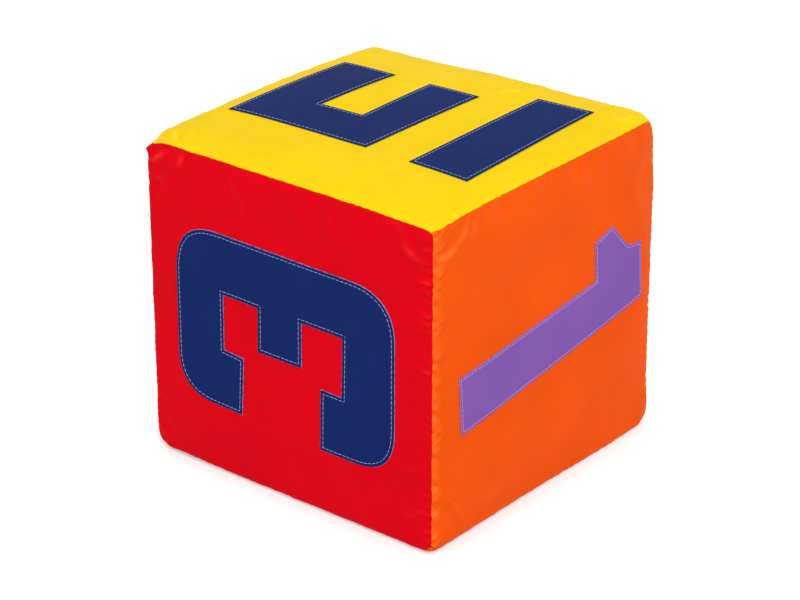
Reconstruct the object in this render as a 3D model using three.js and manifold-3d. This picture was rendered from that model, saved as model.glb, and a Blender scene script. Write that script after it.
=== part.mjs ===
// A soft foam die: a foam block in a sewn cover of thin nylon, one panel for each face, with
// block figures sewn on as appliqué and a zip low on the back. Millimetres, +Z up, origin on
// the ground under the middle of the base, front face towards -Y.
import * as THREE from 'three';
import { mergeVertices } from 'three/addons/utils/BufferGeometryUtils.js';
import Module from 'manifold-3d';

const wasm = await Module();
wasm.setup();

// The block, measured between its sewn edges
const blockWidth = 200;
const blockDepth = 200;
const blockHeight = 190;
const faceCrown = 2.5; // swell of a face at its middle
const crownPower = 6; // even; a higher power keeps the face flat nearer to its edges
const cornerDraw = 1.5; // how far the stitching draws a corner in, along each side
const cornerDrop = 3; // how far it draws a corner up or down
const cornerPower = 16; // a higher power keeps the drawn part closer to the corner

// The cover and what is sewn on it
const coverThickness = 0.8;
const seamAllowance = 5; // depth of the edge that is turned in at a seam
const clippedFollow = 0.4; // share of a corner's draw that the clipped, turned-in edge follows
const seamGap = 0.3; // between the two turned-in edges of a seam
const layerGap = 0.3; // between pieces that lie on each other
const foamClearance = 0.5; // between the foam's bevel and the turned-in edges
const figureThickness = 0.8;

// Block figures on the faces that are not the top, front or right one
const figureWidth = 105;
const figureHeight = 150;
const figureStroke = 33;
const figureRound = 20; // outer corners
const figureTurnRound = 4; // corners at the ends of strokes
const lyingTurn = 90; // degrees by which a figure on a side face lies on its side

// The zip, in the seam between the back panel and the strip below it
const zipHeight = 30; // above the sewn edge of the base
const zipEndMargin = 24; // from the side of the block to the end of the slot
const slotClearance = 0.8; // between the slider and the folded edges of the slot
const hemWidth = 9; // fabric folded under along the slot
const hemFuse = 0.2; // depth by which the folded layer joins the panel
const tapeWidth = 11;
const tapeThickness = 0.6;
const tapeTail = 6; // tape beyond the stops
const toothPitch = 3.2;
const toothHead = 1.9;
const toothNeck = 1.2;
const toothChamfer = 0.25;
const toothReach = 1.9; // from the edge of the tape to the tip
const toothGrip = 1.1; // over the edge of the tape
const toothThickness = 2.4;
const rowSlit = 1; // between the tips of the two rows, where the slider's post runs
const stopLength = 2.6;
const stopClearance = 0.3;
const sliderLength = 11;
const sliderWall = 0.9;
const sliderLip = 0.8;
const sliderClearance = 0.4;
const sliderRound = 1.6;
const postLength = 2.4;
const postClearance = 0.3;
const lugLength = 6;
const lugWidth = 1.8;
const lugWall = 0.9;
const pullThickness = 0.9;
const pullArm = 1; // width of the bars around the eye
const pullClearance = 0.35;
const tabLength = 17;
const tabWidth = 6.4;
const tabRound = 2.4;

// How finely the soft forms are cut into facets
const innerCells = 8;
const curveSegments = 5;

const restHeight = figureThickness + layerGap; // the base stands on its own appliqué
const blockHalf = new THREE.Vector3(blockWidth / 2, blockDepth / 2, blockHeight / 2);
const blockCentre = new THREE.Vector3(0, 0, restHeight + blockHeight / 2);
const cornerPull = new THREE.Vector3(cornerDraw, cornerDraw, cornerDrop);

// Layers of the cover: inset from the sewn edge and depth below the face
const mitreInset = seamGap * Math.SQRT1_2;
const turnInset = coverThickness * Math.SQRT2;
const outerLayer = { inset: mitreInset, depth: 0 };
const innerLayer = { inset: mitreInset + coverThickness + turnInset, depth: coverThickness };
const foamLayer = { inset: innerLayer.inset, depth: coverThickness + layerGap };
const tipClearance = foamClearance + mitreInset + turnInset;
const foamBevel = 2 * seamAllowance + tipClearance + faceCrown - foamLayer.depth;

const tipLayer = {
  inset: mitreInset + seamAllowance,
  depth: seamAllowance,
  follow: clippedFollow,
};
const tipInnerLayer = { ...tipLayer, inset: tipLayer.inset + turnInset };

function makeFace(normal, across, up, crown) {
  const halfAlong = (direction) => Math.abs(direction.dot(blockHalf));
  return {
    normal,
    across,
    up,
    crown,
    halfNormal: halfAlong(normal),
    halfAcross: halfAlong(across),
    halfUp: halfAlong(up),
  };
}

const direction = (x, y, z) => new THREE.Vector3(x, y, z);
const faces = {
  top: makeFace(direction(0, 0, 1), direction(1, 0, 0), direction(0, 1, 0), faceCrown),
  front: makeFace(direction(0, -1, 0), direction(1, 0, 0), direction(0, 0, 1), faceCrown),
  right: makeFace(direction(1, 0, 0), direction(0, 1, 0), direction(0, 0, 1), faceCrown),
  back: makeFace(direction(0, 1, 0), direction(-1, 0, 0), direction(0, 0, 1), faceCrown),
  left: makeFace(direction(-1, 0, 0), direction(0, -1, 0), direction(0, 0, 1), faceCrown),
  base: makeFace(direction(0, 0, -1), direction(1, 0, 0), direction(0, -1, 0), 0),
};

// A point of a layer on a face. u and v run from -1 to 1 between the layer's own edges; the
// face swells towards its middle and the seams draw its corners in.
function facePoint(face, u, v, layer) {
  const swell = face.crown * (1 - u ** crownPower) * (1 - v ** crownPower);
  const share = (layer.follow ?? 1) * Math.abs(u * v) ** cornerPower;
  const along = (axis, distance) => {
    const drawn = share * Math.abs(axis.dot(cornerPull));
    return Math.sign(distance) * (Math.abs(distance) - drawn);
  };
  const across = along(face.across, (face.halfAcross - layer.inset) * u);
  const up = along(face.up, (face.halfUp - layer.inset) * v);
  const out = along(face.normal, face.halfNormal - layer.depth + swell);
  return blockCentre
    .clone()
    .addScaledVector(face.across, across)
    .addScaledVector(face.up, up)
    .addScaledVector(face.normal, out);
}

// Grid stations over the flat part of the foam, closer together towards its bevels
function foamStations(half) {
  const shoulder = (half - foamBevel) / (half - foamLayer.inset);
  const station = (k) => shoulder * Math.sin((Math.PI / 2) * ((2 * k) / innerCells - 1));
  return Array.from({ length: innerCells + 1 }, (_, k) => station(k));
}

// The same stations carried on to the sewn edges
function coverStations(half) {
  const inner = foamStations(half);
  const beyond = (inner[innerCells] + 1) / 2;
  return [-1, -beyond, ...inner, beyond, 1];
}

function geometryFrom(positions, triangles) {
  const geometry = new THREE.BufferGeometry();
  geometry.setAttribute('position', new THREE.Float32BufferAttribute(positions, 3));
  geometry.setIndex(triangles);
  geometry.computeVertexNormals();
  return geometry;
}

// A closed sheet on a face: the first layer is its outer grid, the last its inner grid, and
// the layers between them are rings that the rim passes through.
function sheetGeometry(face, layers) {
  const across = coverStations(face.halfAcross);
  const up = coverStations(face.halfUp);
  const last = across.length - 1;
  const side = Array.from({ length: last }, (_, k) => k);
  const border = [
    ...side.map((k) => [k, 0]),
    ...side.map((k) => [last, k]),
    ...side.map((k) => [last - k, last]),
    ...side.map((k) => [0, last - k]),
  ];
  const positions = [];
  const triangles = [];
  const addPoint = (i, j, layer) => {
    positions.push(...facePoint(face, across[i], up[j], layer).toArray());
    return positions.length / 3 - 1;
  };
  const addGrid = (layer, outward) => {
    const grid = across.map((_, i) => up.map((__, j) => addPoint(i, j, layer)));
    for (let i = 0; i < last; i += 1) {
      for (let j = 0; j < last; j += 1) {
        const [a, c] = [grid[i][j], grid[i + 1][j + 1]];
        const [b, d] = [grid[i + 1][j], grid[i][j + 1]];
        triangles.push(...(outward ? [a, b, c, a, c, d] : [a, c, b, a, d, c]));
      }
    }
    return border.map(([i, j]) => grid[i][j]);
  };
  const rings = layers.map((layer, k) => {
    if (k === 0) return addGrid(layer, true);
    if (k === layers.length - 1) return addGrid(layer, false);
    return border.map(([i, j]) => addPoint(i, j, layer));
  });
  for (let k = 0; k + 1 < rings.length; k += 1) {
    border.forEach((_, here) => {
      const next = (here + 1) % border.length;
      const [a, b] = [rings[k][here], rings[k + 1][here]];
      const [c, d] = [rings[k + 1][next], rings[k][next]];
      triangles.push(a, b, c, a, c, d);
    });
  }
  return geometryFrom(positions, triangles);
}

// The foam: a block whose six crowned faces end at a bevel along every edge. A point of the
// bevel's ridge lies midway between the faces that meet there.
function foamGeometry() {
  const cells = innerCells + 2;
  const block = new THREE.BoxGeometry(2, 2, 2, cells, cells, cells);
  block.deleteAttribute('normal');
  block.deleteAttribute('uv');
  const geometry = mergeVertices(block);
  const position = geometry.getAttribute('position');
  const stations = blockHalf.toArray().map(foamStations);
  const vertex = new THREE.Vector3();
  for (let k = 0; k < position.count; k += 1) {
    vertex.fromBufferAttribute(position, k);
    const steps = vertex.toArray().map((value) => Math.round(((value + 1) / 2) * cells) - 1);
    const inner = steps.map((step) => THREE.MathUtils.clamp(step, 0, innerCells));
    const place = new THREE.Vector3(...inner.map((step, axis) => stations[axis][step]));
    const meeting = Object.values(faces).filter((face) => vertex.dot(face.normal) > 1 - 1 / cells);
    const sum = new THREE.Vector3();
    meeting.forEach((face) => {
      sum.add(facePoint(face, place.dot(face.across), place.dot(face.up), foamLayer));
    });
    position.setXYZ(k, ...sum.divideScalar(meeting.length).toArray());
  }
  return geometry;
}

function solidOf(geometry) {
  const bare = geometry.clone();
  bare.deleteAttribute('normal');
  bare.deleteAttribute('uv');
  const merged = mergeVertices(bare);
  const vertProperties = new Float32Array(merged.getAttribute('position').array);
  const triVerts = new Uint32Array(merged.getIndex().array);
  return new wasm.Manifold(new wasm.Mesh({ numProp: 3, vertProperties, triVerts }));
}

function geometryOf(solid) {
  const mesh = solid.getMesh();
  return geometryFrom(Array.from(mesh.vertProperties), Array.from(mesh.triVerts));
}

function boxSolid(low, high) {
  const size = high.map((value, axis) => value - low[axis]);
  const box = new THREE.BoxGeometry(...size);
  box.translate(...low.map((value, axis) => value + size[axis] / 2));
  return solidOf(box);
}

// An outline through corners given as [x, y, radius]; a corner without a radius stays sharp
function roundedPath(corners, path) {
  corners.forEach(([x, y, radius = 0], k) => {
    const towards = (step) => {
      const [nextX, nextY] = corners[(k + step + corners.length) % corners.length];
      return new THREE.Vector2(nextX - x, nextY - y).setLength(radius).add(new THREE.Vector2(x, y));
    };
    const enter = towards(-1);
    const leave = towards(1);
    if (k === 0) path.moveTo(enter.x, enter.y);
    else path.lineTo(enter.x, enter.y);
    if (radius > 0) path.quadraticCurveTo(x, y, leave.x, leave.y);
  });
  path.closePath();
  return path;
}

const outline = (corners) => roundedPath(corners, new THREE.Shape());

function extruded(shape, depth) {
  return new THREE.ExtrudeGeometry(shape, { depth, bevelEnabled: false, curveSegments });
}

// An outline whose corners are shares of its face's half sizes, so that it keeps its place on it
function faceOutline(face, corners) {
  const place = ([x, y, radius = 0]) => [
    x * face.halfAcross,
    y * face.halfUp,
    radius * face.halfAcross,
  ];
  return outline(corners.map(place));
}

// Outlines of the figures on the three faces in view, around the middle of their face
const threeOutline = faceOutline(faces.front, [
  [-0.791, -0.54, 0.26],
  [-0.313, -0.557],
  [-0.294, -0.182],
  [-0.438, -0.168],
  [-0.434, 0.182],
  [-0.184, 0.176],
  [-0.19, -0.105],
  [0.127, -0.107],
  [0.13, 0.18],
  [0.415, 0.175],
  [0.408, -0.197],
  [0.259, -0.194],
  [0.252, -0.584],
  [0.77, -0.587, 0.27],
  [0.773, 0.542, 0.29],
  [-0.785, 0.567, 0.31],
]);
const oneOutline = faceOutline(faces.right, [
  [-0.778, -0.336],
  [0.893, -0.1],
  [0.862, 0.269],
  [0.728, 0.285, 0.04],
  [0.569, 0.466],
  [0.402, 0.419],
  [0.416, 0.169],
  [-0.805, 0.029],
]);
const fiveHookOutline = faceOutline(faces.top, [
  [-0.901, -0.442],
  [0.072, -0.413],
  [0.08, 0.581],
  [-0.266, 0.572],
  [-0.244, -0.062],
  [-0.525, -0.081],
  [-0.518, 0.575],
  [-0.891, 0.567],
]);
const fiveBarOutline = faceOutline(faces.top, [
  [0.381, -0.427],
  [0.783, -0.439],
  [0.719, 0.803],
  [0.357, 0.769],
]);

// Outlines of the other three figures, upright around their own middle
const strokeEdges = {
  left: -figureWidth / 2,
  innerLeft: -figureWidth / 2 + figureStroke,
  innerRight: figureWidth / 2 - figureStroke,
  right: figureWidth / 2,
  bottom: -figureHeight / 2,
  innerBottom: -figureHeight / 2 + figureStroke,
  midLow: -figureStroke / 2,
  midHigh: figureStroke / 2,
  innerTop: figureHeight / 2 - figureStroke,
  top: figureHeight / 2,
};

function twoOutline() {
  const { left, innerLeft, innerRight, right } = strokeEdges;
  const { bottom, innerBottom, midLow, midHigh, innerTop, top } = strokeEdges;
  return outline([
    [left, bottom, figureTurnRound],
    [right, bottom, figureTurnRound],
    [right, innerBottom, figureTurnRound],
    [innerLeft, innerBottom],
    [innerLeft, midLow],
    [right, midLow, figureRound],
    [right, top, figureRound],
    [left, top, figureTurnRound],
    [left, innerTop, figureTurnRound],
    [innerRight, innerTop],
    [innerRight, midHigh],
    [left, midHigh, figureRound],
  ]);
}

function fourOutline() {
  const { left, innerLeft, innerRight, right } = strokeEdges;
  const { bottom, midLow, midHigh, top } = strokeEdges;
  return outline([
    [innerRight, bottom, figureTurnRound],
    [right, bottom, figureTurnRound],
    [right, top, figureTurnRound],
    [innerRight, top, figureTurnRound],
    [innerRight, midHigh],
    [innerLeft, midHigh],
    [innerLeft, top, figureTurnRound],
    [left, top, figureTurnRound],
    [left, midLow, figureRound],
    [innerRight, midLow],
  ]);
}

function sixOutline() {
  const { left, innerLeft, innerRight, right } = strokeEdges;
  const { bottom, innerBottom, midLow, midHigh, innerTop, top } = strokeEdges;
  const shape = outline([
    [left, bottom, figureRound],
    [right, bottom, figureRound],
    [right, midHigh, figureRound],
    [innerLeft, midHigh],
    [innerLeft, innerTop],
    [right, innerTop, figureTurnRound],
    [right, top, figureTurnRound],
    [left, top, figureRound],
  ]);
  const eye = [
    [innerLeft, innerBottom, figureTurnRound],
    [innerLeft, midLow, figureTurnRound],
    [innerRight, midLow, figureTurnRound],
    [innerRight, innerBottom, figureTurnRound],
  ];
  shape.holes.push(roundedPath(eye, new THREE.Path()));
  return shape;
}

// A figure lies on its face like a second skin: its outline cuts it from a sheet that follows
// the swell of the cover.
function figureGeometry(face, shape, middle = [0, 0], turn = 0) {
  const reach = face.crown + figureThickness + 2 * layerGap;
  const prism = extruded(shape, 2 * reach);
  prism.rotateZ(THREE.MathUtils.degToRad(turn));
  prism.translate(middle[0], middle[1], face.halfNormal - reach / 2);
  const frame = new THREE.Matrix4().makeBasis(face.across, face.up, face.normal);
  prism.applyMatrix4(frame.setPosition(blockCentre));
  const sheet = sheetGeometry(face, [
    { inset: outerLayer.inset, depth: -layerGap - figureThickness },
    { inset: outerLayer.inset, depth: -layerGap },
  ]);
  return geometryOf(solidOf(sheet).intersect(solidOf(prism)));
}

// Places along the zip, in its own frame: X along it, Y out of the face, Z up
const slotHalfLength = blockWidth / 2 - zipEndMargin;
const stopSpace = stopLength + 2 * stopClearance;
const toothRun = 2 * (slotHalfLength - stopSpace);
const tapeLength = toothRun + 2 * (stopSpace + tapeTail);
const tapeEdge = rowSlit / 2 + toothReach;
const rowHalfWidth = tapeEdge + toothGrip;
const channelHalf = toothThickness / 2 + sliderClearance;
const sliderHalfWidth = rowHalfWidth + sliderClearance + sliderLip;
const sliderTop = channelHalf + sliderWall;
const slotHalfWidth = sliderHalfWidth + slotClearance;
const sliderRestX = toothRun / 2 - sliderLength / 2;
const lugOpening = pullThickness + 2 * pullClearance;
const pivotY = sliderTop + lugOpening / 2;
const lugTop = sliderTop + lugOpening + lugWall;

// The tapes lie under the folded hems, level with the lowest part of the hem
const zipZ = restHeight + zipHeight;
const hemLayer = { inset: innerLayer.inset, depth: 2 * coverThickness };
const hemEndU = slotHalfLength / (blockWidth / 2 - hemLayer.inset);
const hemEndZ = zipZ - slotHalfWidth - hemWidth;
const hemEndV = (hemEndZ - blockCentre.z) / (blockHeight / 2 - hemLayer.inset);
const hemLowest = facePoint(faces.back, hemEndU, hemEndV, hemLayer).y;
const tapeY = hemLowest - layerGap - tapeThickness / 2;

function tapeSolid(side) {
  const low = side > 0 ? tapeEdge : -tapeEdge - tapeWidth;
  const half = [tapeLength / 2, tapeThickness / 2];
  let solid = boxSolid([-half[0], -half[1], low], [half[0], half[1], low + tapeWidth]);
  const tip = rowSlit / 2;
  const neckEnd = tip + toothReach / 2;
  const tooth = outline([
    [-toothHead / 2 + toothChamfer, tip],
    [toothHead / 2 - toothChamfer, tip],
    [toothHead / 2, neckEnd],
    [toothNeck / 2, tapeEdge],
    [toothNeck / 2, rowHalfWidth],
    [-toothNeck / 2, rowHalfWidth],
    [-toothNeck / 2, tapeEdge],
    [-toothHead / 2, neckEnd],
  ]);
  const teeth = Math.floor(toothRun / toothPitch - 1);
  const start = (-(teeth - 1) * toothPitch) / 2 + (side * toothPitch) / 4;
  for (let k = 0; k < teeth; k += 1) {
    const geometry = extruded(tooth, toothThickness);
    geometry.translate(0, 0, -toothThickness / 2);
    geometry.rotateX((side * Math.PI) / 2);
    geometry.translate(start + k * toothPitch, 0, 0);
    solid = solid.add(solidOf(geometry));
  }
  return solid;
}

// A stop is a clamp on the edge of the tape, a C in section; the end stop grips both tapes
function stopGeometry(isDouble) {
  const jaw = toothThickness / 2;
  const mouth = tapeThickness / 2 + stopClearance;
  const throat = tapeEdge - stopClearance;
  const upperJaw = [
    [jaw, rowHalfWidth],
    [mouth, rowHalfWidth],
    [mouth, throat],
    [-mouth, throat],
    [-mouth, rowHalfWidth],
    [-jaw, rowHalfWidth],
  ];
  const lowerJaw = upperJaw.map(([y, z]) => [-y, -z]);
  const heel = [
    [-jaw, rowSlit / 2],
    [jaw, rowSlit / 2],
  ];
  const shape = outline(isDouble ? [...upperJaw, ...lowerJaw] : [...upperJaw, ...heel]);
  const geometry = extruded(shape, stopLength);
  geometry.translate(0, 0, -stopLength / 2);
  geometry.rotateY(Math.PI / 2);
  geometry.rotateX(Math.PI / 2);
  return geometry;
}

function roundedRectangle(halfLength, halfWidth, radius) {
  return outline([
    [-halfLength, -halfWidth, radius],
    [halfLength, -halfWidth, radius],
    [halfLength, halfWidth, radius],
    [-halfLength, halfWidth, radius],
  ]);
}

// Two plates joined by the post that runs between the rows, with lips that keep the teeth in
// and an arched lug for the pull
function sliderGeometry() {
  const halfLength = sliderLength / 2;
  const lipGap = tapeThickness / 2 + sliderClearance;
  const lipInner = sliderHalfWidth - sliderLip;
  const lipLength = halfLength - sliderRound;
  const postHalf = rowSlit / 2 - postClearance;
  const postEnd = halfLength - sliderRound / 2;
  const plate = extruded(roundedRectangle(halfLength, sliderHalfWidth, sliderRound), sliderWall);
  plate.rotateX(Math.PI / 2);
  const outerPlate = solidOf(plate.clone().translate(0, sliderTop, 0));
  const innerPlate = solidOf(plate.clone().translate(0, -channelHalf, 0));
  const post = boxSolid(
    [postEnd - postLength, -sliderTop + sliderWall / 2, -postHalf],
    [postEnd, sliderTop - sliderWall / 2, postHalf],
  );
  let solid = outerPlate.add(innerPlate).add(post);
  [1, -1].forEach((face) => {
    [1, -1].forEach((side) => {
      const y = [face * lipGap, face * (sliderTop - sliderWall / 2)];
      const z = [side * lipInner, side * sliderHalfWidth];
      const low = [-lipLength, Math.min(...y), Math.min(...z)];
      const high = [lipLength, Math.max(...y), Math.max(...z)];
      solid = solid.add(boxSolid(low, high));
    });
  });
  const footY = sliderTop - sliderWall / 2;
  const arch = outline([
    [-lugLength / 2, footY],
    [-lugLength / 2 + lugWall, footY],
    [-lugLength / 2 + lugWall, sliderTop + lugOpening],
    [lugLength / 2 - lugWall, sliderTop + lugOpening],
    [lugLength / 2 - lugWall, footY],
    [lugLength / 2, footY],
    [lugLength / 2, lugTop, lugWall],
    [-lugLength / 2, lugTop, lugWall],
  ]);
  const lug = extruded(arch, lugWidth).translate(0, 0, -lugWidth / 2);
  return geometryOf(solid.add(solidOf(lug)));
}

// A flat pull whose eye clears the lug at every angle, lying along the closed zip towards -X
function pullGeometry() {
  const bar = pullThickness / 2;
  const eyeLength = Math.hypot(lugLength / 2, lugTop - pivotY) + pullClearance;
  const eyeHalf = lugWidth / 2 + pullClearance;
  const armHalf = eyeHalf + pullArm;
  const eyeEnd = -eyeLength - pullArm;
  const tabEnd = eyeEnd - tabLength;
  const shape = outline([
    [bar, -armHalf],
    [bar, armHalf],
    [eyeEnd, armHalf],
    [eyeEnd - pullArm, tabWidth / 2],
    [tabEnd, tabWidth / 2, tabRound],
    [tabEnd, -tabWidth / 2, tabRound],
    [eyeEnd - pullArm, -tabWidth / 2],
    [eyeEnd, -armHalf],
  ]);
  const eye = [
    [-bar, -eyeHalf],
    [-eyeLength, -eyeHalf],
    [-eyeLength, eyeHalf],
    [-bar, eyeHalf],
  ];
  shape.holes.push(roundedPath(eye, new THREE.Path()));
  const geometry = extruded(shape, pullThickness);
  geometry.translate(0, 0, -pullThickness / 2);
  geometry.rotateX(Math.PI / 2);
  return geometry;
}

// The back face is sewn from two pieces, parted at the zip's seam, each folded under at the slot
const panelLayers = [outerLayer, tipLayer, tipInnerLayer, innerLayer];
const backPanel = solidOf(sheetGeometry(faces.back, panelLayers));
const hemSheet = solidOf(
  sheetGeometry(faces.back, [
    { inset: innerLayer.inset, depth: coverThickness - hemFuse },
    hemLayer,
  ]),
);

function backPiece(side) {
  const between = (from, to) => [zipZ + side * from, zipZ + side * to].sort((a, b) => a - b);
  const slab = (halfLength, from, to) => {
    const [low, high] = between(from, to);
    return boxSolid([-halfLength, 0, low], [halfLength, blockDepth, high]);
  };
  const piece = backPanel.intersect(slab(blockWidth, seamGap / 2, blockHeight));
  const slot = slab(slotHalfLength, -slotHalfWidth, slotHalfWidth);
  const hem = hemSheet.intersect(slab(slotHalfLength, slotHalfWidth, slotHalfWidth + hemWidth));
  return geometryOf(piece.subtract(slot).add(hem));
}

// The foam gives way behind the zip
function foamWithChannel() {
  const halfLength = tapeLength / 2 + foamClearance;
  const halfWidth = Math.max(tapeEdge + tapeWidth, slotHalfWidth + hemWidth) + foamClearance;
  const floor = tapeY - sliderTop - foamClearance;
  const channel = boxSolid(
    [-halfLength, floor, zipZ - halfWidth],
    [halfLength, blockDepth, zipZ + halfWidth],
  );
  return geometryOf(solidOf(foamGeometry()).subtract(channel));
}

const colours = {
  yellow: 0xfdd81c,
  red: 0xdb0a1c,
  orange: 0xf2560f,
  navy: 0x203064,
  purple: 0x8458ac,
  foam: 0xf1ecd8,
  tape: 0x24283a,
  plastic: 0x2b3046,
  metal: 0xb9bcc2,
};

function addPiece(group, name, geometry, colour, roughness, metalness = 0) {
  const material = new THREE.MeshStandardMaterial({ color: colour, roughness, metalness });
  const mesh = new THREE.Mesh(geometry, material);
  mesh.name = name;
  group.add(mesh);
  return mesh;
}

const foamRoughness = 0.95;
const nylonRoughness = 0.45;
const tapeRoughness = 0.8;
const metalRoughness = 0.35;

const die = new THREE.Group();
addPiece(die, 'foam_core', foamWithChannel(), colours.foam, foamRoughness);

const cover = new THREE.Group();
die.add(cover);
const panelGeometry = (face) => sheetGeometry(face, panelLayers);
addPiece(cover, 'cover_top', panelGeometry(faces.top), colours.yellow, nylonRoughness);
addPiece(cover, 'cover_front', panelGeometry(faces.front), colours.red, nylonRoughness);
addPiece(cover, 'cover_right', panelGeometry(faces.right), colours.orange, nylonRoughness);
addPiece(cover, 'cover_left', panelGeometry(faces.left), colours.red, nylonRoughness);
addPiece(cover, 'cover_base', panelGeometry(faces.base), colours.orange, nylonRoughness);
addPiece(cover, 'cover_back', backPiece(1), colours.yellow, nylonRoughness);
addPiece(cover, 'cover_back_strip', backPiece(-1), colours.yellow, nylonRoughness);

const figures = new THREE.Group();
die.add(figures);
const addFigure = (name, geometry, colour) => {
  addPiece(figures, name, geometry, colour, nylonRoughness);
};
const backMiddleUp = (zipHeight + slotHalfWidth) / 2; // the back figure sits above the zip
addFigure('figure_five_hook', figureGeometry(faces.top, fiveHookOutline), colours.navy);
addFigure('figure_five_bar', figureGeometry(faces.top, fiveBarOutline), colours.navy);
addFigure('figure_three', figureGeometry(faces.front, threeOutline), colours.navy);
addFigure('figure_one', figureGeometry(faces.right, oneOutline), colours.purple);
addFigure('figure_two', figureGeometry(faces.base, twoOutline()), colours.purple);
addFigure('figure_six', figureGeometry(faces.left, sixOutline(), [0, 0], lyingTurn), colours.navy);
addFigure(
  'figure_four',
  figureGeometry(faces.back, fourOutline(), [0, backMiddleUp], -lyingTurn),
  colours.navy,
);

const zip = new THREE.Group();
zip.position.set(0, tapeY, zipZ);
die.add(zip);
addPiece(zip, 'zip_tape_upper', geometryOf(tapeSolid(1)), colours.tape, tapeRoughness);
addPiece(zip, 'zip_tape_lower', geometryOf(tapeSolid(-1)), colours.tape, tapeRoughness);
const stopX = toothRun / 2 + stopSpace / 2;
const endStop = addPiece(zip, 'zip_end_stop', stopGeometry(true), colours.plastic, nylonRoughness);
endStop.position.x = -stopX;
const upperStop = addPiece(
  zip,
  'zip_top_stop_upper',
  stopGeometry(false),
  colours.plastic,
  nylonRoughness,
);
upperStop.position.x = stopX;
const lowerStop = addPiece(
  zip,
  'zip_top_stop_lower',
  stopGeometry(false),
  colours.plastic,
  nylonRoughness,
);
lowerStop.position.x = stopX;
lowerStop.rotation.x = Math.PI;

const slider = new THREE.Group();
slider.position.x = sliderRestX;
zip.add(slider);
addPiece(slider, 'zip_slider', sliderGeometry(), colours.metal, metalRoughness, 1);
const pull = addPiece(slider, 'zip_pull', pullGeometry(), colours.metal, metalRoughness, 1);
pull.position.y = pivotY;

export default die;
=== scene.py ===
import math

import bpy
import numpy as np
from mathutils import Matrix
from mathutils.geometry import delaunay_2d_cdt


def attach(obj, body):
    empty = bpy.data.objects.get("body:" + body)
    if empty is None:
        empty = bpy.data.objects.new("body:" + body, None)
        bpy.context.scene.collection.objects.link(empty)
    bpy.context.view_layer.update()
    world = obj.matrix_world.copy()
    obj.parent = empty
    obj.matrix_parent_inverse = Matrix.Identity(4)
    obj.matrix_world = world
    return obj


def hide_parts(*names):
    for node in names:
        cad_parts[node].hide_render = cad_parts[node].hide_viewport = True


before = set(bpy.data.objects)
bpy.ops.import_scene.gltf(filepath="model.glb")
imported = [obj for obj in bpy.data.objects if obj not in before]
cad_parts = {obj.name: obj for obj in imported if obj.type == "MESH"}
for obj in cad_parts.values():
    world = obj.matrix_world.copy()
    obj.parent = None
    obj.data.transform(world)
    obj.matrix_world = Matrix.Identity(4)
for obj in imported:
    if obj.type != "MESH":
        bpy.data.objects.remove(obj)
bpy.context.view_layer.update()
print("frame loaded:", len(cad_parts), "nodes")

mm = 0.001  # shapes are worked out in millimetres and go into the meshes in metres


# Vectors over their own lengths
def unit(v):
    return v / np.linalg.norm(v, axis=-1, keepdims=True)


# A Gaussian bell: one at nought, fading to both sides
def bell(distance, width):
    return np.exp(-((distance / width) ** 2))


# Values along the rows and along the columns of a grid, both as flat arrays
def spread(rows, columns):
    return [g.ravel() for g in np.meshgrid(rows, columns, indexing="ij")]


# Quads of a grid stored row by row: each joins a point to its neighbours ahead in both directions
def gridQuads(rows, columns):
    first = (np.arange(rows - 1)[:, None] * columns + np.arange(columns - 1)).ravel()
    return np.stack([first, first + columns, first + columns + 1, first + 1], -1)


# Quads round a stack of rings: each joins a point to the next ring and to its neighbour on its own
def ringQuads(rings, around):
    ring, i = spread(np.arange(rings - 1) * around, np.arange(around))
    ahead = (i + 1) % around
    return np.stack([ring + i, ring + around + i, ring + around + ahead, ring + ahead], -1)


# One mesh object at the origin: points in millimetres, a UV map of the flat cut, point attributes
def makePiece(name, points, polygons, materials, uv=None, attributes=None):
    mesh = bpy.data.meshes.new(name)
    mesh.from_pydata((np.asarray(points).reshape(-1, 3) * mm).tolist(), [], [list(p) for p in polygons])
    for material in materials:
        mesh.materials.append(material)
    mesh.polygons.foreach_set("use_smooth", np.ones(len(mesh.polygons), bool))
    if uv is not None:
        corner = np.empty(len(mesh.loops), np.int32)
        mesh.loops.foreach_get("vertex_index", corner)
        layer = mesh.uv_layers.new(name="cut")
        layer.data.foreach_set("uv", np.asarray(uv, np.float32).reshape(-1, 2)[corner].ravel())
    for key, values in (attributes or {}).items():
        layer = mesh.attributes.new(key, "FLOAT", "POINT")
        layer.data.foreach_set("value", np.asarray(values, np.float32).ravel())
    mesh.update()
    piece = bpy.data.objects.new(name, mesh)
    bpy.context.scene.collection.objects.link(piece)
    return piece


# A wall behind a surface, as a live modifier
def thicken(piece, thickness, rimMaterial=0):
    wall = piece.modifiers.new("thickness", "SOLIDIFY")
    wall.thickness = thickness * mm
    wall.offset = -1
    wall.use_even_offset = False
    wall.material_offset_rim = rimMaterial
    return piece


# One piece of many threads, from runs of short centre lines with their normals, both (count, stations,
# 3): a ring of points round each station, closed at both ends. The UV is length and girth.
def threadPiece(name, runs, radii, sides, material):
    lines, normals = (np.concatenate(part) for part in zip(*runs))
    count, stations = lines.shape[:2]
    along = unit(np.gradient(lines, axis=1))
    beside = unit(np.cross(along, normals))
    above = np.cross(beside, along)
    angle = np.arange(sides)[:, None] * 2 * np.pi / sides
    ring = np.cos(angle) * beside[:, :, None] + np.sin(angle) * above[:, :, None]
    points = lines[:, :, None] + radii[None, :, None, None] * ring
    starts = np.arange(count)[:, None] * stations * sides
    quads = (ringQuads(stations, sides) + starts[..., None]).reshape(-1, 4)
    caps = np.concatenate([starts + np.arange(sides), starts + stations * sides - 1 - np.arange(sides)])
    lengthwise = np.broadcast_to(np.linspace(0, 1, stations)[None, :, None], points.shape[:3])
    around = np.broadcast_to(np.arange(sides)[None, None] / sides, points.shape[:3])
    uv = np.stack([lengthwise, around], -1)
    return makePiece(name, points, quads.tolist() + caps.tolist(), [material], uv)


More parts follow.
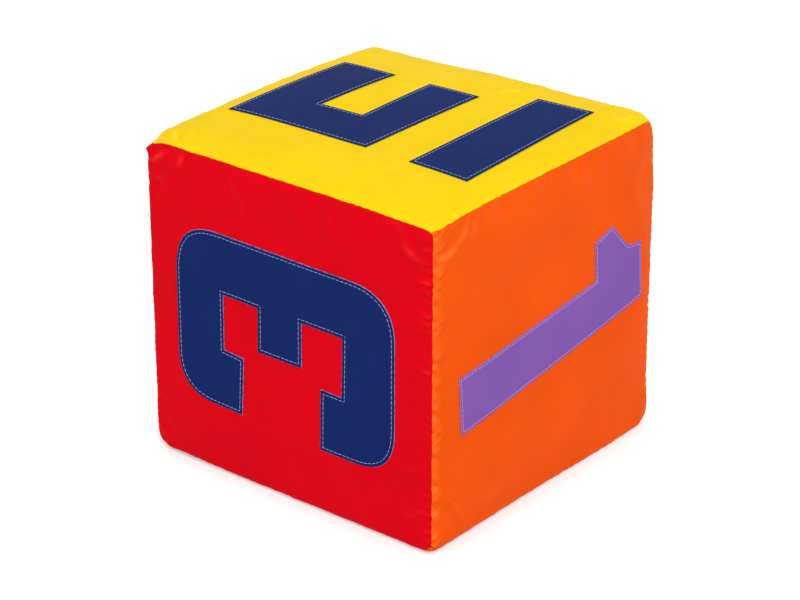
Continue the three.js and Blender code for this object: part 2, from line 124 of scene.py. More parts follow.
# A piece rides on the die and may stand for a CAD node
def dress(piece, node=None):
    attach(piece, "die")
    if node:
        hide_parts(node)
    return piece


# The sewn block, in millimetres
block = {
    "half": np.array([100.4, 100.4, 95.1]),  # to the seams, along X, Y and Z
    "middle": np.array([0.0, 0.0, 96.2]),
    "crown": 2.5, "crownPower": 6,
    "cornerDraw": np.array([0.8, 0.8, 1.4]), "cornerPower": 30,  # how far the sewn corners are pulled in
    "roll": 0.8,  # radius of the cloth where it turns over an edge
}
# Directions across and up each face, which points out along their cross product
faces = {
    "top": ((1, 0, 0), (0, 1, 0)), "front": ((1, 0, 0), (0, 0, 1)), "right": ((0, 1, 0), (0, 0, 1)),
    "back": ((-1, 0, 0), (0, 0, 1)), "left": ((0, -1, 0), (0, 0, 1)), "base": ((1, 0, 0), (0, -1, 0)),
}
for name, (across, up) in faces.items():
    directions = {"across": across, "up": up, "normal": np.cross(across, up)}
    faces[name] = {k: np.array(v, float) for k, v in directions.items()}


# Half sizes of a block's face across, up and along its normal
def halfSizes(faceName, shape=block):
    return [np.abs(faces[faceName][k]) @ shape["half"] for k in ("across", "up", "normal")]


# For each seam of a face (+across, -across, +up, -up): how far inside it points lie, and where along it
def fromSeams(faceName, a, b):
    halfA, halfB = halfSizes(faceName)[:2]
    return [(halfA - a, b), (halfA + a, b), (halfB - b, a), (halfB + b, a)]


# A face of a rounded block: the flat field, then an eighth-turn roll over each edge (a core point plus
# the roll radius along a direction that leans by the tangent), swollen by a crown (1-u^p)(1-v^p)
# and drawn in at the corners by |uv|^q. Also gives the same points of the plain, sharp block.
def blockPoints(shape, faceName, a, b):
    face, roll = faces[faceName], shape["roll"]
    *half, halfN = halfSizes(faceName, shape)
    half, place = np.array(half), np.stack([a, b], -1)
    lean = np.sign(place) * np.tan(np.clip(1 - (half - np.abs(place)) / roll, 0, 1) * np.pi / 4)
    core = np.clip(place, roll - half, half - roll)
    local = np.column_stack([core, np.full_like(a, halfN - roll)])
    local = local + roll * unit(np.column_stack([lean, np.ones_like(a)]))
    u, v = (place / half).T
    power = shape["crownPower"]
    crown = 0 if faceName == "base" else shape["crown"]
    local[:, 2] += crown * (1 - u**power) * (1 - v**power)
    basis = np.stack([face["across"], face["up"], face["normal"]])
    flat = np.column_stack([place, np.full_like(a, halfN)]) @ basis
    share = np.abs(u * v) ** shape["cornerPower"]
    points = local @ basis - share[:, None] * shape["cornerDraw"] * np.sign(flat)
    return points + shape["middle"], flat + shape["middle"]


# The figures. Outlines are corners [x, y, rounding] around the middle of the face, anticlockwise.
stroke = {"width": 105, "height": 150, "stroke": 33, "round": 20, "turn": 4}


# Upright block figures of one even stroke: its edges are numbered from the left and from the bottom,
# and the corners step from edge to edge round the figure
def strokeFigures():
    w, h, s = stroke["width"] / 2, stroke["height"] / 2, stroke["stroke"]
    r, t = stroke["round"], stroke["turn"]
    x0, x1, x2, x3 = -w, s - w, w - s, w
    y0, y1, y2, y3, y4, y5 = -h, s - h, -s / 2, s / 2, h - s, h
    return {
        "two": [
            [x0, y0, t], [x3, y0, t], [x3, y1, t], [x1, y1, 0], [x1, y2, 0], [x3, y2, r],
            [x3, y5, r], [x0, y5, t], [x0, y4, t], [x2, y4, 0], [x2, y3, 0], [x0, y3, r],
        ],
        "four": [
            [x2, y0, t], [x3, y0, t], [x3, y5, t], [x2, y5, t], [x2, y3, 0], [x1, y3, 0],
            [x1, y5, t], [x0, y5, t], [x0, y2, r], [x2, y2, 0],
        ],
        "six": [
            [x0, y0, r], [x3, y0, r], [x3, y3, r], [x1, y3, 0],
            [x1, y4, 0], [x3, y4, t], [x3, y5, t], [x0, y5, r],
        ],
        "sixEye": [[x1, y1, t], [x1, y2, t], [x2, y2, t], [x2, y1, t]],
    }


upright = strokeFigures()
figures = {
    "figure_three": {
        "face": "front",
        "corners": [
            [-79.1, -51.3, 26], [-31.3, -52.9, 0], [-29.4, -17.3, 0], [-43.8, -16, 0],
            [-43.4, 17.3, 0], [-18.4, 16.7, 0], [-19, -10, 0], [12.7, -10.2, 0],
            [13, 17.1, 0], [41.5, 16.6, 0], [40.8, -18.7, 0], [25.9, -18.4, 0],
            [25.2, -55.5, 0], [77, -55.8, 27], [77.3, 51.5, 29], [-78.5, 53.9, 31],
        ],
    },
    "figure_one": {
        "face": "right", "stitchInset": 1.5,
        "corners": [
            [-77.8, -31.9, 0], [89.3, -9.5, 0], [86.2, 25.6, 0], [72.8, 27.1, 4],
            [56.9, 44.3, 0], [40.2, 39.8, 0], [41.6, 16.1, 0], [-80.5, 2.8, 0],
        ],
    },
    "figure_five_hook": {
        "face": "top",
        "corners": [
            [-90.1, -44.2, 0], [7.2, -41.3, 0], [8, 58.1, 0], [-26.6, 57.2, 0],
            [-24.4, -6.2, 0], [-52.5, -8.1, 0], [-51.8, 57.5, 0], [-89.1, 56.7, 0],
        ],
    },
    "figure_five_bar": {
        "face": "top",
        "corners": [[38.1, -42.7, 0], [78.3, -43.9, 0], [71.9, 80.3, 0], [35.7, 76.9, 0]],
    },
    "figure_two": {"face": "base", "corners": upright["two"]},
    "figure_six": {"face": "left", "corners": upright["six"], "eye": upright["sixEye"], "turn": 90},
    "figure_four": {"face": "back", "corners": upright["four"], "turn": -90, "middle": (0, 17.75)},
}
roundSteps, leastRound = 12, 0.2  # points on a rounded corner, and the least rounding left by an inset
stitchInset = 2.1  # how far inside its outline a figure's stitches run, unless it has its own


# An outline moved inwards: each side is shifted along its inward normal and crossed with the next;
# a rounding shortens on outer corners and grows on inner ones by inset * tan(turn / 2).
def insetCorners(corners, inset):
    place, rounding = corners[:, :2], corners[:, 2]
    side = unit(np.roll(place, -1, 0) - place)
    shifted = place + inset * np.stack([-side[:, 1], side[:, 0]], -1)
    before, shiftedBefore = np.roll(side, 1, 0), np.roll(shifted, 1, 0)
    turning = before[:, 0] * side[:, 1] - before[:, 1] * side[:, 0]
    gap = shifted - shiftedBefore
    reach = (gap[:, 0] * side[:, 1] - gap[:, 1] * side[:, 0]) / turning
    crossed = shiftedBefore + before * reach[:, None]
    turn = np.arctan2(turning, (before * side).sum(-1))
    softened = np.where(rounding > 0, np.maximum(rounding - inset * np.tan(turn / 2), leastRound), 0)
    return np.column_stack([crossed, softened])


# The closed line round an outline: straight sides split evenly, roundings as quadratic curves
def outlineLoop(corners, inset=0.0, spacing=1.5):
    moved = insetCorners(corners, inset)
    place, rounding = moved[:, :2], moved[:, 2:]
    enter = place + rounding * unit(np.roll(place, 1, 0) - place)
    leave = place + rounding * unit(np.roll(place, -1, 0) - place)
    line = []
    for k in range(len(place)):
        t = np.linspace(0, 1, roundSteps)[:, None] if rounding[k, 0] > 0 else np.zeros((1, 1))
        curve = (1 - t) ** 2 * enter[k] + 2 * t * (1 - t) * place[k] + t**2 * leave[k]
        following = enter[(k + 1) % len(place)]
        steps = max(1, math.ceil(np.linalg.norm(following - curve[-1]) / spacing))
        share = np.arange(1, steps)[:, None] / steps
        line += [curve, curve[-1] + share * (following - curve[-1])]
    return np.concatenate(line)


# A figure's corners turned about its middle and moved to its place on the face
def placedCorners(figure, key):
    corners = np.array(figure[key], float)
    turn = math.radians(figure.get("turn", 0))
    spin = np.array([[math.cos(turn), -math.sin(turn)], [math.sin(turn), math.cos(turn)]])
    corners[:, :2] = corners[:, :2] @ spin.T + np.array(figure.get("middle", (0, 0)))
    return corners


for figure in figures.values():
    figure.setdefault("stitchInset", stitchInset)
    figure["contours"] = [placedCorners(figure, key) for key in ("corners", "eye") if key in figure]


# Even-odd test: a point is inside where a line to its right crosses the loops an odd number of times
def insideLoops(a, b, loops):
    crossings = np.zeros(len(a), int)
    for loop in loops:
        x0, y0 = loop[:, 0], loop[:, 1]
        x1, y1 = np.roll(x0, -1), np.roll(y0, -1)
        straddles = (y0 > b[:, None]) != (y1 > b[:, None])
        rise = np.where(y1 == y0, 1e-9, y1 - y0)
        crossings += (straddles & (a[:, None] < (x1 - x0) * (b[:, None] - y0) / rise + x0)).sum(1)
    return crossings % 2 == 1


# Distance to the nearest point of any loop
def distanceToLoops(a, b, loops):
    points = np.concatenate(loops)
    return np.hypot(a[:, None] - points[:, 0], b[:, None] - points[:, 1]).min(1)


# How far a figure stiffens the cloth under and around it: 1 inside, fading out over the margin
def figureShield(faceName, a, b, margin=9.0):
    shield = np.zeros_like(a)
    for figure in figures.values():
        if figure["face"] == faceName:
            loops = [outlineLoop(c, spacing=4) for c in figure["contours"]]
            outside = np.where(insideLoops(a, b, loops), 0, distanceToLoops(a, b, loops))
            shield = np.maximum(shield, np.clip(1 - outside / margin, 0, 1) ** 2)
    return shield


# Seams of the cover and what they do to the cloth beside them; waves are (shortest, longest)
seams = {
    "grooveDepth": 0.45, "ownDepths": {(1, -1, 0): 0.36}, "grooveWidth": 0.55,
    "wanders": ((0.1, 7, 12, 50), (0.06, 2.5, 4.5, 9)),  # height, reach, shortest and longest wave
    "wanderSeed": 900, "wanderFade": 10,
    "foldStart": 0.9, "puckerStart": 1.0, "puckerReach": 5.0, "puckerWaves": (4.2, 7.0),
    "patchMean": 0.75, "patchSwing": 0.30, "patchWaves": (22, 60),  # how puckers come and go
    "gatherStart": 2.5, "gatherReach": 17, "gatherWaves": (11, 26),
}
# Soft moves of the whole cover: (place, reach, move), so that no two corners are alike
softShifts = [
    ((-100, -100, 191), 9, (1.5, 1.2, -2.4)),
    ((-100, -100, 186), 3.4, (-2.2, -0.6, 0.0)),
    ((-100, 0, 191), 60, (-0.4, 0.0, 1.0)),
    ((-100, 100, 191), 26, (-1.0, -2.6, -1.0)),
    ((-62, 100, 191), 42, (0.0, -1.8, -2.4)),
    ((85, 100, 191), 18, (0.0, 0.3, 0.9)),
    ((100, 100, 191), 7, (-1.2, -1.8, -1.2)),
    ((100, 100, 176), 14, (-0.6, -0.9, 0.0)),
    ((100, -100, 191), 36, (0.0, 0.0, -1.2)),
    ((100, -100, 191), 1.8, (-1.0, -0.8, 0.0)),
    ((100, -92.5, 191), 3.6, (0.0, 0.0, -0.9)),
    ((100, -83, 191), 3.6, (0.0, 0.0, -0.9)),
    ((100, -100, 1), 2.3, (-0.1, 0.1, 4.3)),
    ((97.5, -97.5, 1), 2.2, (1.5, -1.5, 0.1)),
    ((-100, -100, 1), 6, (0.9, 0.7, 1.4)),
    ((-80, -100, 1), 22, (0.0, 0.0, 0.9)),
    ((100, 60, 1), 45, (0.9, 0.0, -0.7)),
    ((100, 100, 1), 5, (-0.5, -0.4, 0.7)),
    ((100, 95, 12), 14, (0.5, 1.2, 0.0)),
    ((-80, 100, 31), 9, (0.0, -0.8, 0.0)),  # room for the pull where the zip is open
]
# Per face: pucker and gather heights on its four sides (+across, -across, +up, -up) with their slants,
# ring folds round its corners (height, own reach across and up), single folds (start, bend, end, width,
# height), the swell's height, and where given the grooves' widths, the stretch of the seams' painted
# shade lines and the painted highlight on its rolled edges
relief = {
    "front": {
        "puckers": (0.42, 0.14, 0.12, 0.05), "gathers": (0.12, 0.12, 0.24, 0.07),
        "slants": (-0.15, 0.3, 0.3, 0.2), "seamStretch": (1.8, 1, 1, 1), "swell": 0.35,
        "rings": {(1, 1): (0.45, 22.5, 20.3), (-1, 1): [0.12], (1, -1): [0.1], (-1, -1): [0.12]},
        "folds": [
            ((-98, 81), (-92, 87), (-84, 91), 2.6, 0.7),
            ((-100, 67), (-94, 70), (-84, 70.5), 2.4, -0.68),
            ((-87, 93), (-82, 90.5), (-76, 89), 2.0, -0.6),
            ((-72, 93), (-74, 88), (-76, 82), 2.4, 0.52),
            ((-45, 93), (-42, 84), (-35, 73), 2.6, -0.57),
            ((-27, 88), (-28, 76), (-31, 60), 5.0, 0.2),
            ((7, 89), (9, 78), (12, 66), 5.0, 0.18),
            ((22, 90), (24, 80), (25, 66), 3.0, -0.38),
            ((31, 92), (33, 84), (36, 72), 3.5, 0.2),
            ((72, -31), (86, -28), (99, -24), 2.2, 0.22),
            ((76, -54), (88, -48), (99, -41), 2.6, 0.24),
            ((79, -79), (90, -73), (99, -66), 2.8, 0.24),
            ((84, 27), (92, 28), (99, 30), 2.0, 0.2),
            ((-97, -79), (-94, -85), (-88, -90), 2.6, 0.3),
            ((92, 82.7), (96, 83), (100, 83.2), 1.3, 0.35),
            ((94, 85.3), (97, 85.6), (100, 86), 1.6, -0.4),
            ((91, 63.6), (95.5, 64.4), (100, 65.2), 1.8, 0.25),
        ],
    },
    "right": {
        "puckers": (0.24, 0.5, 0.14, 0.05), "gathers": (0.12, 0.12, 0.20, 0.08),
        "slants": (0.3, -0.45, 0.1, 0.2), "grooves": (0.55, 2.6, 0.55, 0.55),
        "seamStretch": (1, 4, 1, 1), "shine": (0.15, 0.75, 0, 0), "swell": 0.35,
        "rings": {(-1, 1): (0.62, 27.5, 17.8), (1, 1): [0.15], (-1, -1): [0.12], (1, -1): [0.1]},
        "folds": [
            ((-58.5, 93), (-59, 86), (-60, 79), 1.9, -0.34),
            ((-38.5, 93), (-39, 86), (-40, 78), 2.0, -0.38),
            ((-22.5, 93), (-23, 88), (-23, 82), 1.8, -0.32),
            ((-3.5, 93), (-4, 85), (-5, 76), 2.0, -0.4),
            ((21.5, 93), (21.5, 86), (21, 78), 2.2, -0.38),
            ((35, 93), (35, 88), (35, 83), 1.8, -0.28),
            ((65, 93), (65, 87), (64, 80), 2.4, -0.34),
            ((81, 93), (81, 88), (82, 83), 1.9, -0.28),
            ((79, 76), (82, 56), (85, 34), 6.0, 0.26),
            ((-99, 43), (-92, 42), (-84, 40), 2.2, 0.25),
            ((-98, -66), (-88, -72), (-80, -86), 3.0, -0.57),
            ((-64, -77), (-50, -78), (-36, -76), 8.0, 0.25),
            ((-101, 82.4), (-96, 83.4), (-90, 85.4), 1.5, 0.45),
            ((-101, 79.6), (-95, 80.4), (-88, 82.2), 1.3, -0.4),
            ((-101, 71.8), (-96, 72.3), (-91, 73.2), 1.8, 0.35),
            ((-97, 65), (-90, 68.5), (-83, 73.4), 1.9, -0.36),
            ((-101, 88), (-98.5, 90.5), (-95, 93), 1.9, 0.4),
            ((-63, 93), (-66.5, 85.8), (-70, 80), 2.6, 0.32),
        ],
    },
    "top": {
        "puckers": (0.05,) * 4, "gathers": (0.06,) * 4, "slants": (0.2,) * 4, "swell": 0.30,
        "rings": {(1, -1): [0.2], (-1, -1): [0.3], (1, 1): [0.3], (-1, 1): [0.3]},
        "folds": [
            ((-97, -82), (-89, -89), (-80, -98), 2.8, 0.66),
            ((7, 66), (14, 77), (24, 87), 5.0, 0.52),
            ((65, -78), (65, -84), (64, -91), 1.9, -0.45),
            ((89, -85), (88.5, -90), (87.5, -96), 1.9, -0.45),
            ((22, -86), (23.5, -90), (25.5, -95), 2.0, -0.42),
            ((92, 92), (90, 85), (90, 76), 3.0, 0.52),
        ],
    },
    "left": {
        "puckers": (0.20, 0.16, 0.10, 0.05), "gathers": (0.12, 0.12, 0.22, 0.08),
        "slants": (-0.4, 0.4, 0.2, 0.2), "swell": 0.35, "looseFolds": 9,
        "rings": {(1, 1): (0.5, 25, 20), (-1, 1): (0.5, 31, 24), (1, -1): [0.15], (-1, -1): [0.15]},
    },
    "back": {
        "puckers": (0.16, 0.20, 0.10, 0.05), "gathers": (0.12, 0.12, 0.22, 0.06),
        "slants": (0.4, -0.4, 0.2, 0.2), "swell": 0.30, "looseFolds": 9,
        "rings": {(1, 1): [0.5], (-1, 1): (0.5, 23, 25), (1, -1): [0.1], (-1, -1): [0.1]},
    },
    "base": {
        "puckers": (0.05,) * 4, "gathers": (0.05,) * 4, "slants": (0.2,) * 4, "swell": 0.0, "rings": {},
    },
}
ringFold = {
    # radius, width inside and width outside as shares of a ring's reach, and share of its height
    "rings": ((1.0, 0.1, 0.17, 1.0), (0.76, 0.1, 0.1, -0.25), (1.5, 0.1, 0.14, 0.15)),
    "reach": (28, 22), "mean": 0.85, "swing": 0.25, "radius": 24, "waves": (16, 45), "start": 2.0,
}
loose = {  # folds of the faces that aren't in view
    "below": 2, "along": 0.88, "lengths": (9, 24), "bend": 2, "lean": 4,
    "widths": (1.9, 4.0), "heights": (-0.42, -0.22),
}
ridge = {"steps": 25, "valley": 0.4, "valleyAt": 1.7, "ends": 0.06}  # the section and run of a fold
swell = {"power": 8, "leans": (0.3, 0.2), "waves": (40, 110), "calm": 1.5}  # of a whole face
stiffening = 0.8  # share of the folds that a figure takes out of the cloth under it
foldScale = 1.6  # on all folds, puckers and rings
creaseHeight = 1.0  # height at which a crease's painted highlight is full


# Points moved by the soft shifts, each fading out from its place as a Gaussian
def softMoved(points, flat):
    for place, reach, move in softShifts:
        near = np.exp(-(((flat - np.array(place, float)) / reach) ** 2).sum(-1))
        points = points + near[:, None] * np.array(move)
    return points


# Short folds that run down from the top seam of a face, at seeded places
def looseFolds(faceName, count, seed):
    halfA, halfB = halfSizes(faceName)[:2]
    rng = np.random.default_rng(seed)
    top, folds = halfB - loose["below"], []
    while len(folds) < count:
        x, length = rng.uniform(-loose["along"], loose["along"]) * halfA, rng.uniform(*loose["lengths"])
        bend = (x + rng.uniform(-loose["bend"], loose["bend"]), top - length / 2)
        end = (x + rng.uniform(-loose["lean"], loose["lean"]), top - length)
        folds.append(((x, top), bend, end, rng.uniform(*loose["widths"]), rng.uniform(*loose["heights"])))
    return folds


for index, (faceName, details) in enumerate(relief.items()):
    details["seed"] = 100 * (index + 1)
    details.setdefault("folds", looseFolds(faceName, details.get("looseFolds", 0), details["seed"]))


# A sum of sines whose lengths are spread between two bounds, about one high
def ripple(s, seed, shortest, longest, sines=7):
    rng = np.random.default_rng(seed)
    length = np.exp(rng.uniform(math.log(shortest), math.log(longest), sines))
    phase = rng.uniform(0, 2 * np.pi, sines)
    return np.sin(2 * np.pi * s[..., None] / length + phase).sum(-1) / math.sqrt(sines / 2)


# Soft ridges, each beside a shallower valley, along quadratic curves, fading towards their ends
def foldHeight(a, b, folds):
    height = np.zeros_like(a)
    t = np.linspace(0, 1, ridge["steps"])
    weights = np.stack([(1 - t) ** 2, 2 * t * (1 - t), t**2], -1)
    fade = np.sin(np.pi * (ridge["ends"] + (1 - 2 * ridge["ends"]) * t))
    for start, bend, end, width, rise in folds:
        curve = weights @ np.array([start, bend, end], float)
        away = np.hypot(a[:, None] - curve[:, 0], b[:, None] - curve[:, 1])
        nearest = away.argmin(1)
        along = np.gradient(curve, axis=0)[nearest]
        beside = along[:, 0] * (b - curve[nearest, 1]) - along[:, 1] * (a - curve[nearest, 0])
        distance = away.min(1)
        valley = bell(np.sign(beside) * distance / width - ridge["valleyAt"], 1)
        height += rise * fade[nearest] * (bell(distance, width) - ridge["valley"] * valley)
    return height


# Sharp creases over the smooth field: single folds, puckers that start just inside each seam and die
# away from it, and ring folds round the corners. Every ripple has a seed of its own.
def creaseHeights(faceName, a, b):
    details, sides = relief[faceName], fromSeams(faceName, a, b)
    halfA, halfB = halfSizes(faceName)[:2]
    edge = np.min([inside for inside, along in sides], 0)
    height = foldHeight(a, b, details["folds"]) * (1 - bell(edge, seams["foldStart"]))
    for k, (inside, along) in enumerate(sides):
        seed = details["seed"] + 10 * k
        patch = seams["patchMean"] + seams["patchSwing"] * ripple(along, seed + 1, *seams["patchWaves"])
        wave = ripple(along + details["slants"][k] * inside, seed + 2, *seams["puckerWaves"])
        rise = details["puckers"][k] * (1 - bell(inside, seams["puckerStart"]))
        height += rise * np.exp(-inside / seams["puckerReach"]) * patch * wave
    for k, ((signA, signB), own) in enumerate(details["rings"].items()):
        rise, reachA, reachB = (*own, *ringFold["reach"])[:3]
        fromA, fromB = (halfA - signA * a) / reachA, (halfB - signB * b) / reachB
        radius = np.hypot(fromA, fromB)
        turned = ringFold["radius"] * np.arctan2(fromB, fromA)
        wave = ripple(turned, details["seed"] + 60 + k, *ringFold["waves"])
        uneven = ringFold["mean"] + ringFold["swing"] * wave
        ring = sum(
            share * bell(radius - r, np.where(radius < r, inner, outer))
            for r, inner, outer, share in ringFold["rings"]
        )
        height += rise * uneven * (1 - bell(edge, ringFold["start"])) * ring
    return foldScale * height * (1 - stiffening * figureShield(faceName, a, b))


# Soft waves over the smooth field: gathers that run in from each seam and a long low swell
def waveHeights(faceName, a, b):
    details = relief[faceName]
    seed, height = details["seed"], np.zeros_like(a)
    for k, (inside, along) in enumerate(fromSeams(faceName, a, b)):
        wave = ripple(along + details["slants"][k] * inside, seed + 10 * k + 3, *seams["gatherWaves"])
        rise = foldScale * details["gathers"][k] * (1 - bell(inside, seams["gatherStart"]))
        height += rise * np.exp(-inside / seams["gatherReach"]) * wave
    halfA, halfB = halfSizes(faceName)[:2]
    middle = (1 - (a / halfA) ** swell["power"]) * (1 - (b / halfB) ** swell["power"])
    leanA, leanB = swell["leans"]
    waves = ripple(a + leanA * b, seed + 51, *swell["waves"])
    waves = waves + ripple(b - leanB * a, seed + 52, *swell["waves"])
    height += details["swell"] * middle * waves / swell["calm"]
    return height * (1 - stiffening * figureShield(faceName, a, b))


# The sewn cover: the rolled block, its folds along the face's normal, the soft shifts, and at every
# edge a groove along the diagonal and a wandering of the seam that both its panels share
def coverSurface(faceName, a, b):
    normal, across, up = (faces[faceName][k] for k in ("normal", "across", "up"))
    points, flat = blockPoints(block, faceName, a, b)
    height = creaseHeights(faceName, a, b) + waveHeights(faceName, a, b)
    points = softMoved(points + height[:, None] * normal, flat)
    narrow = seams["grooveWidth"]
    widths = relief[faceName].get("grooves", (narrow,) * 4)
    inside = [away for away, along in fromSeams(faceName, a, b)]
    ways = (across, -across, up, -up)
    edges = [(away, normal, way, width) for away, way, width in zip(inside, ways, widths)]
    for i, j in ((0, 2), (0, 3), (1, 2), (1, 3)):
        edges.append((np.hypot(inside[i], inside[j]), ways[i], ways[j], narrow))
    for away, one, other, width in edges:
        diagonal = one + other
        depth = seams["ownDepths"].get(tuple(diagonal.astype(int)), seams["grooveDepth"])
        points = points - (depth * bell(away, width))[:, None] * diagonal / math.sqrt(2)
        seed = seams["wanderSeed"] + int((diagonal + 1) @ np.array([1, 3, 9]))  # one for each seam
        axis = int(np.argmin(np.abs(diagonal)))
        along = flat[:, axis] - block["middle"][axis]
        fade = 1 - np.clip(np.abs(along) / block["half"][axis], 0, 1) ** seams["wanderFade"]
        for step, (rise, reach, shortest, longest) in enumerate(seams["wanders"]):
            for direction in (one, other):
                key = int(np.abs(direction) @ np.array([1, 2, 3]))  # one for each axis
                wave = ripple(along, seed + 50 * key + 500 * step, shortest, longest)
                points = points + (rise * fade * bell(away, reach) * wave)[:, None] * direction
    return points


# Points lifted off the cover along its own normal, which comes from differences to both sides
def onCloth(faceName, a, b, lift=0.0, step=0.4):
    shape = a.shape
    a, b = a.ravel(), b.ravel()
    alongA = coverSurface(faceName, a + step, b) - coverSurface(faceName, a - step, b)
    alongB = coverSurface(faceName, a, b + step) - coverSurface(faceName, a, b - step)
    normal = unit(np.cross(alongA, alongB))
    points = coverSurface(faceName, a, b) + np.asarray(lift).ravel()[:, None] * normal
    return points.reshape(*shape, 3), normal.reshape(*shape, 3)


# Colours as seen on a screen (0 to 255), made linear for the shader
def linear(colour, shade=1.0):
    share = np.array(colour) / 255
    curve = np.where(share <= 0.04045, share / 12.92, ((share + 0.055) / 1.055) ** 2.4)
    return (*(curve * shade), 1.0)


class Nodes:
    # The node tree of a material or a world, with short calls to add and join nodes
    def __init__(self, name, kind="materials", shader="Principled BSDF"):
        self.made = getattr(bpy.data, kind).new(name)
        self.made.use_nodes = True
        self.tree = self.made.node_tree
        self.shader = self.tree.nodes[shader]

    # A socket is joined to an output, or set to a value
    def fill(self, socket, value):
        if hasattr(value, "is_output"):
            self.tree.links.new(value, socket)
        else:
            socket.default_value = value

    def add(self, kind, inputs=None, **settings):
        node = self.tree.nodes.new("ShaderNode" + kind)
        for key, value in settings.items():
            setattr(node, key, value)
        for key, value in (inputs or {}).items():
            self.fill(node.inputs[key], value)
        return node

    def set(self, **values):
        for key, value in values.items():
            self.fill(self.shader.inputs[key.replace("_", " ")], value)

    def place(self):
        return self.add("TexCoord").outputs["Object"]

    def flatCut(self):
        return self.add("UVMap", uv_map="cut").outputs[0]

    def mark(self, name):
        return self.add("Attribute", attribute_name=name).outputs["Fac"]

    def noise(self, place, scale, detail=2.0):
        return self.add("TexNoise", {"Vector": place, "Scale": scale, "Detail": detail}).outputs[0]

    def bands(self, place, scale, direction="X", distortion=0.0):
        inputs = {"Vector": place, "Scale": scale, "Distortion": distortion}
        return self.add("TexWave", inputs, bands_direction=direction).outputs[1]

    def maths(self, operation, first, second):
        return self.add("Math", {0: first, 1: second}, operation=operation).outputs[0]

    def between(self, factor, first, second):
        return self.add("Mix", {0: factor, 6: first, 7: second}, data_type="RGBA").outputs[2]

    def span(self, value, low, high, toLow=0.0, toHigh=1.0):
        inputs = {"Value": value, "From Min": low, "From Max": high, "To Min": toLow, "To Max": toHigh}
        return self.add("MapRange", inputs).outputs[0]

    def bump(self, height, strength, depth, **under):
        inputs = {"Height": height, "Strength": strength, "Distance": depth * mm, **under}
        return self.add("Bump", inputs).outputs[0]


waveLength = 2 * math.pi / 20  # of a wave texture at scale 1
nylon = {
    "pitch": 0.45, "weave": 0.10,  # of its threads, and how strongly they show
    "paintedSheen": (0.026, 0.03, 0.016),  # painted highlight that a crease adds to the colour, as a white haze
    "paintedSeamShade": 0.42, "polish": 0.06,  # painted shade line at a seam, and the smoother roll beside it
}


# Thin coated nylon: a plain weave (two crossed sets of bands on the flat cut), broad faint tones,
# a painted highlight on creases and on shiny rolled edges (the colour times a gain, plus a white haze),
# patchy painted shade lines at the seams and a slight polish on the rolled edges
def nylonCloth(name, colour, roughness=0.40, gain=(1.36, 1.5, 1.36), paintedHighlightShare=1.0):
    n = Nodes(name)
    flat, place, seamNear = n.flatCut(), n.place(), n.mark("seam")
    threads = waveLength / nylon["pitch"]
    crossing = n.maths("MULTIPLY", n.bands(flat, threads), n.bands(flat, threads, "Y"))
    broad, fine = n.noise(place, scale=22.0, detail=3.0), n.noise(place, scale=260.0)
    tone = n.between(n.span(broad, 0.3, 0.7), linear(colour, 0.95), linear(colour, 1.05))
    paintedHighlightColour = (*(np.array(linear(colour)[:3]) * gain + nylon["paintedSheen"]), 1.0)
    # painted highlight: paler colour on creases and rolled edges, by the attribute that clothMarks gives
    tone = n.between(n.span(n.mark("paintedHighlight"), 0.05, 1.0, 0.0, paintedHighlightShare), tone, paintedHighlightColour)
    patches = n.span(n.noise(place, scale=330.0), 0.38, 0.62, 0.1, 1.2)
    # painted shade: a patchy dark line along each seam, where the groove's shade falls
    paintedSeamShade = n.maths("MULTIPLY", n.span(seamNear, 0.1, 0.9, nylon["paintedSeamShade"], 0.0), patches)
    tone = n.between(paintedSeamShade, tone, linear(colour, 0.45))
    polished = n.span(seamNear, 1.0, 6.0, roughness - nylon["polish"], roughness)
    crinkle = n.bump(fine, strength=0.12, depth=0.12)
    n.set(
        Base_Color=n.between(n.span(crossing, 0.0, 1.0, 0.06, 0.0), tone, linear(colour, 0.7)),
        Roughness=n.maths("ADD", polished, n.span(fine, 0.3, 0.7, -0.04, 0.04)),
        Normal=n.bump(crossing, strength=nylon["weave"], depth=0.05, Normal=crinkle),
        Specular_IOR_Level=0.015, Sheen_Weight=0.005, Sheen_Roughness=0.4,
    )
    return n.made


# The cut edge of a figure: raw yarn ends; its pale and dark navy copies are painted highlight and painted
# shade
def cutEdge(name, colour):
    n = Nodes(name)
    ends = n.span(n.noise(n.place(), scale=1400.0), 0.35, 0.65)
    n.set(Base_Color=n.between(ends, linear(colour, 0.55), linear(colour, 1.1)), Roughness=0.8)
    return n.made


# Spun sewing thread: twisted plies as slanted bands on its own length and girth
def sewingThread(name, colour):
    n = Nodes(name)
    twist = n.bands(n.flatCut(), 0.9, "DIAGONAL")
    n.set(
        Base_Color=n.between(n.span(twist, 0.0, 1.0, 0.35, 0.0), linear(colour), linear(colour, 0.5)),
        Normal=n.bump(twist, strength=0.3, depth=0.08), Roughness=0.55, Sheen_Weight=0.2,
    )
    return n.made


# Open foam: pores of two sizes pressed into a cream body
def openFoam(name, colour):
    n = Nodes(name)
    place = n.place()
    pores = n.add("TexVoronoi", {"Vector": place, "Scale": 700.0}).outputs["Distance"]
    body = n.bump(n.noise(place, scale=320.0, detail=4.0), strength=0.3, depth=0.3)
    n.set(
        Base_Color=n.between(n.span(pores, 0.1, 0.6, 0.6, 0.0), linear(colour), linear(colour, 0.6)),
        Normal=n.bump(pores, strength=0.6, depth=0.4, Normal=body), Roughness=0.95,
    )
    return n.made


# Woven zip tape: slanted bands, broken by the ribs that run along it
def zipTape(name, colour):
    n = Nodes(name)
    flat, ribPitch, yarnPitch = n.flatCut(), 2.2, 0.6
    turned = n.add("Mapping", {"Vector": flat, "Rotation": (0, 0, math.radians(45))}).outputs[0]
    slanted = n.bands(turned, waveLength / yarnPitch, distortion=1.5)
    weave = n.maths("MULTIPLY", n.bands(flat, waveLength / ribPitch, "Y"), slanted)
    n.set(
        Base_Color=n.between(weave, linear(colour, 0.6), linear(colour, 1.5)),
        Normal=n.bump(weave, strength=0.5, depth=0.12), Roughness=0.85, Sheen_Weight=0.2,
    )
    return n.made


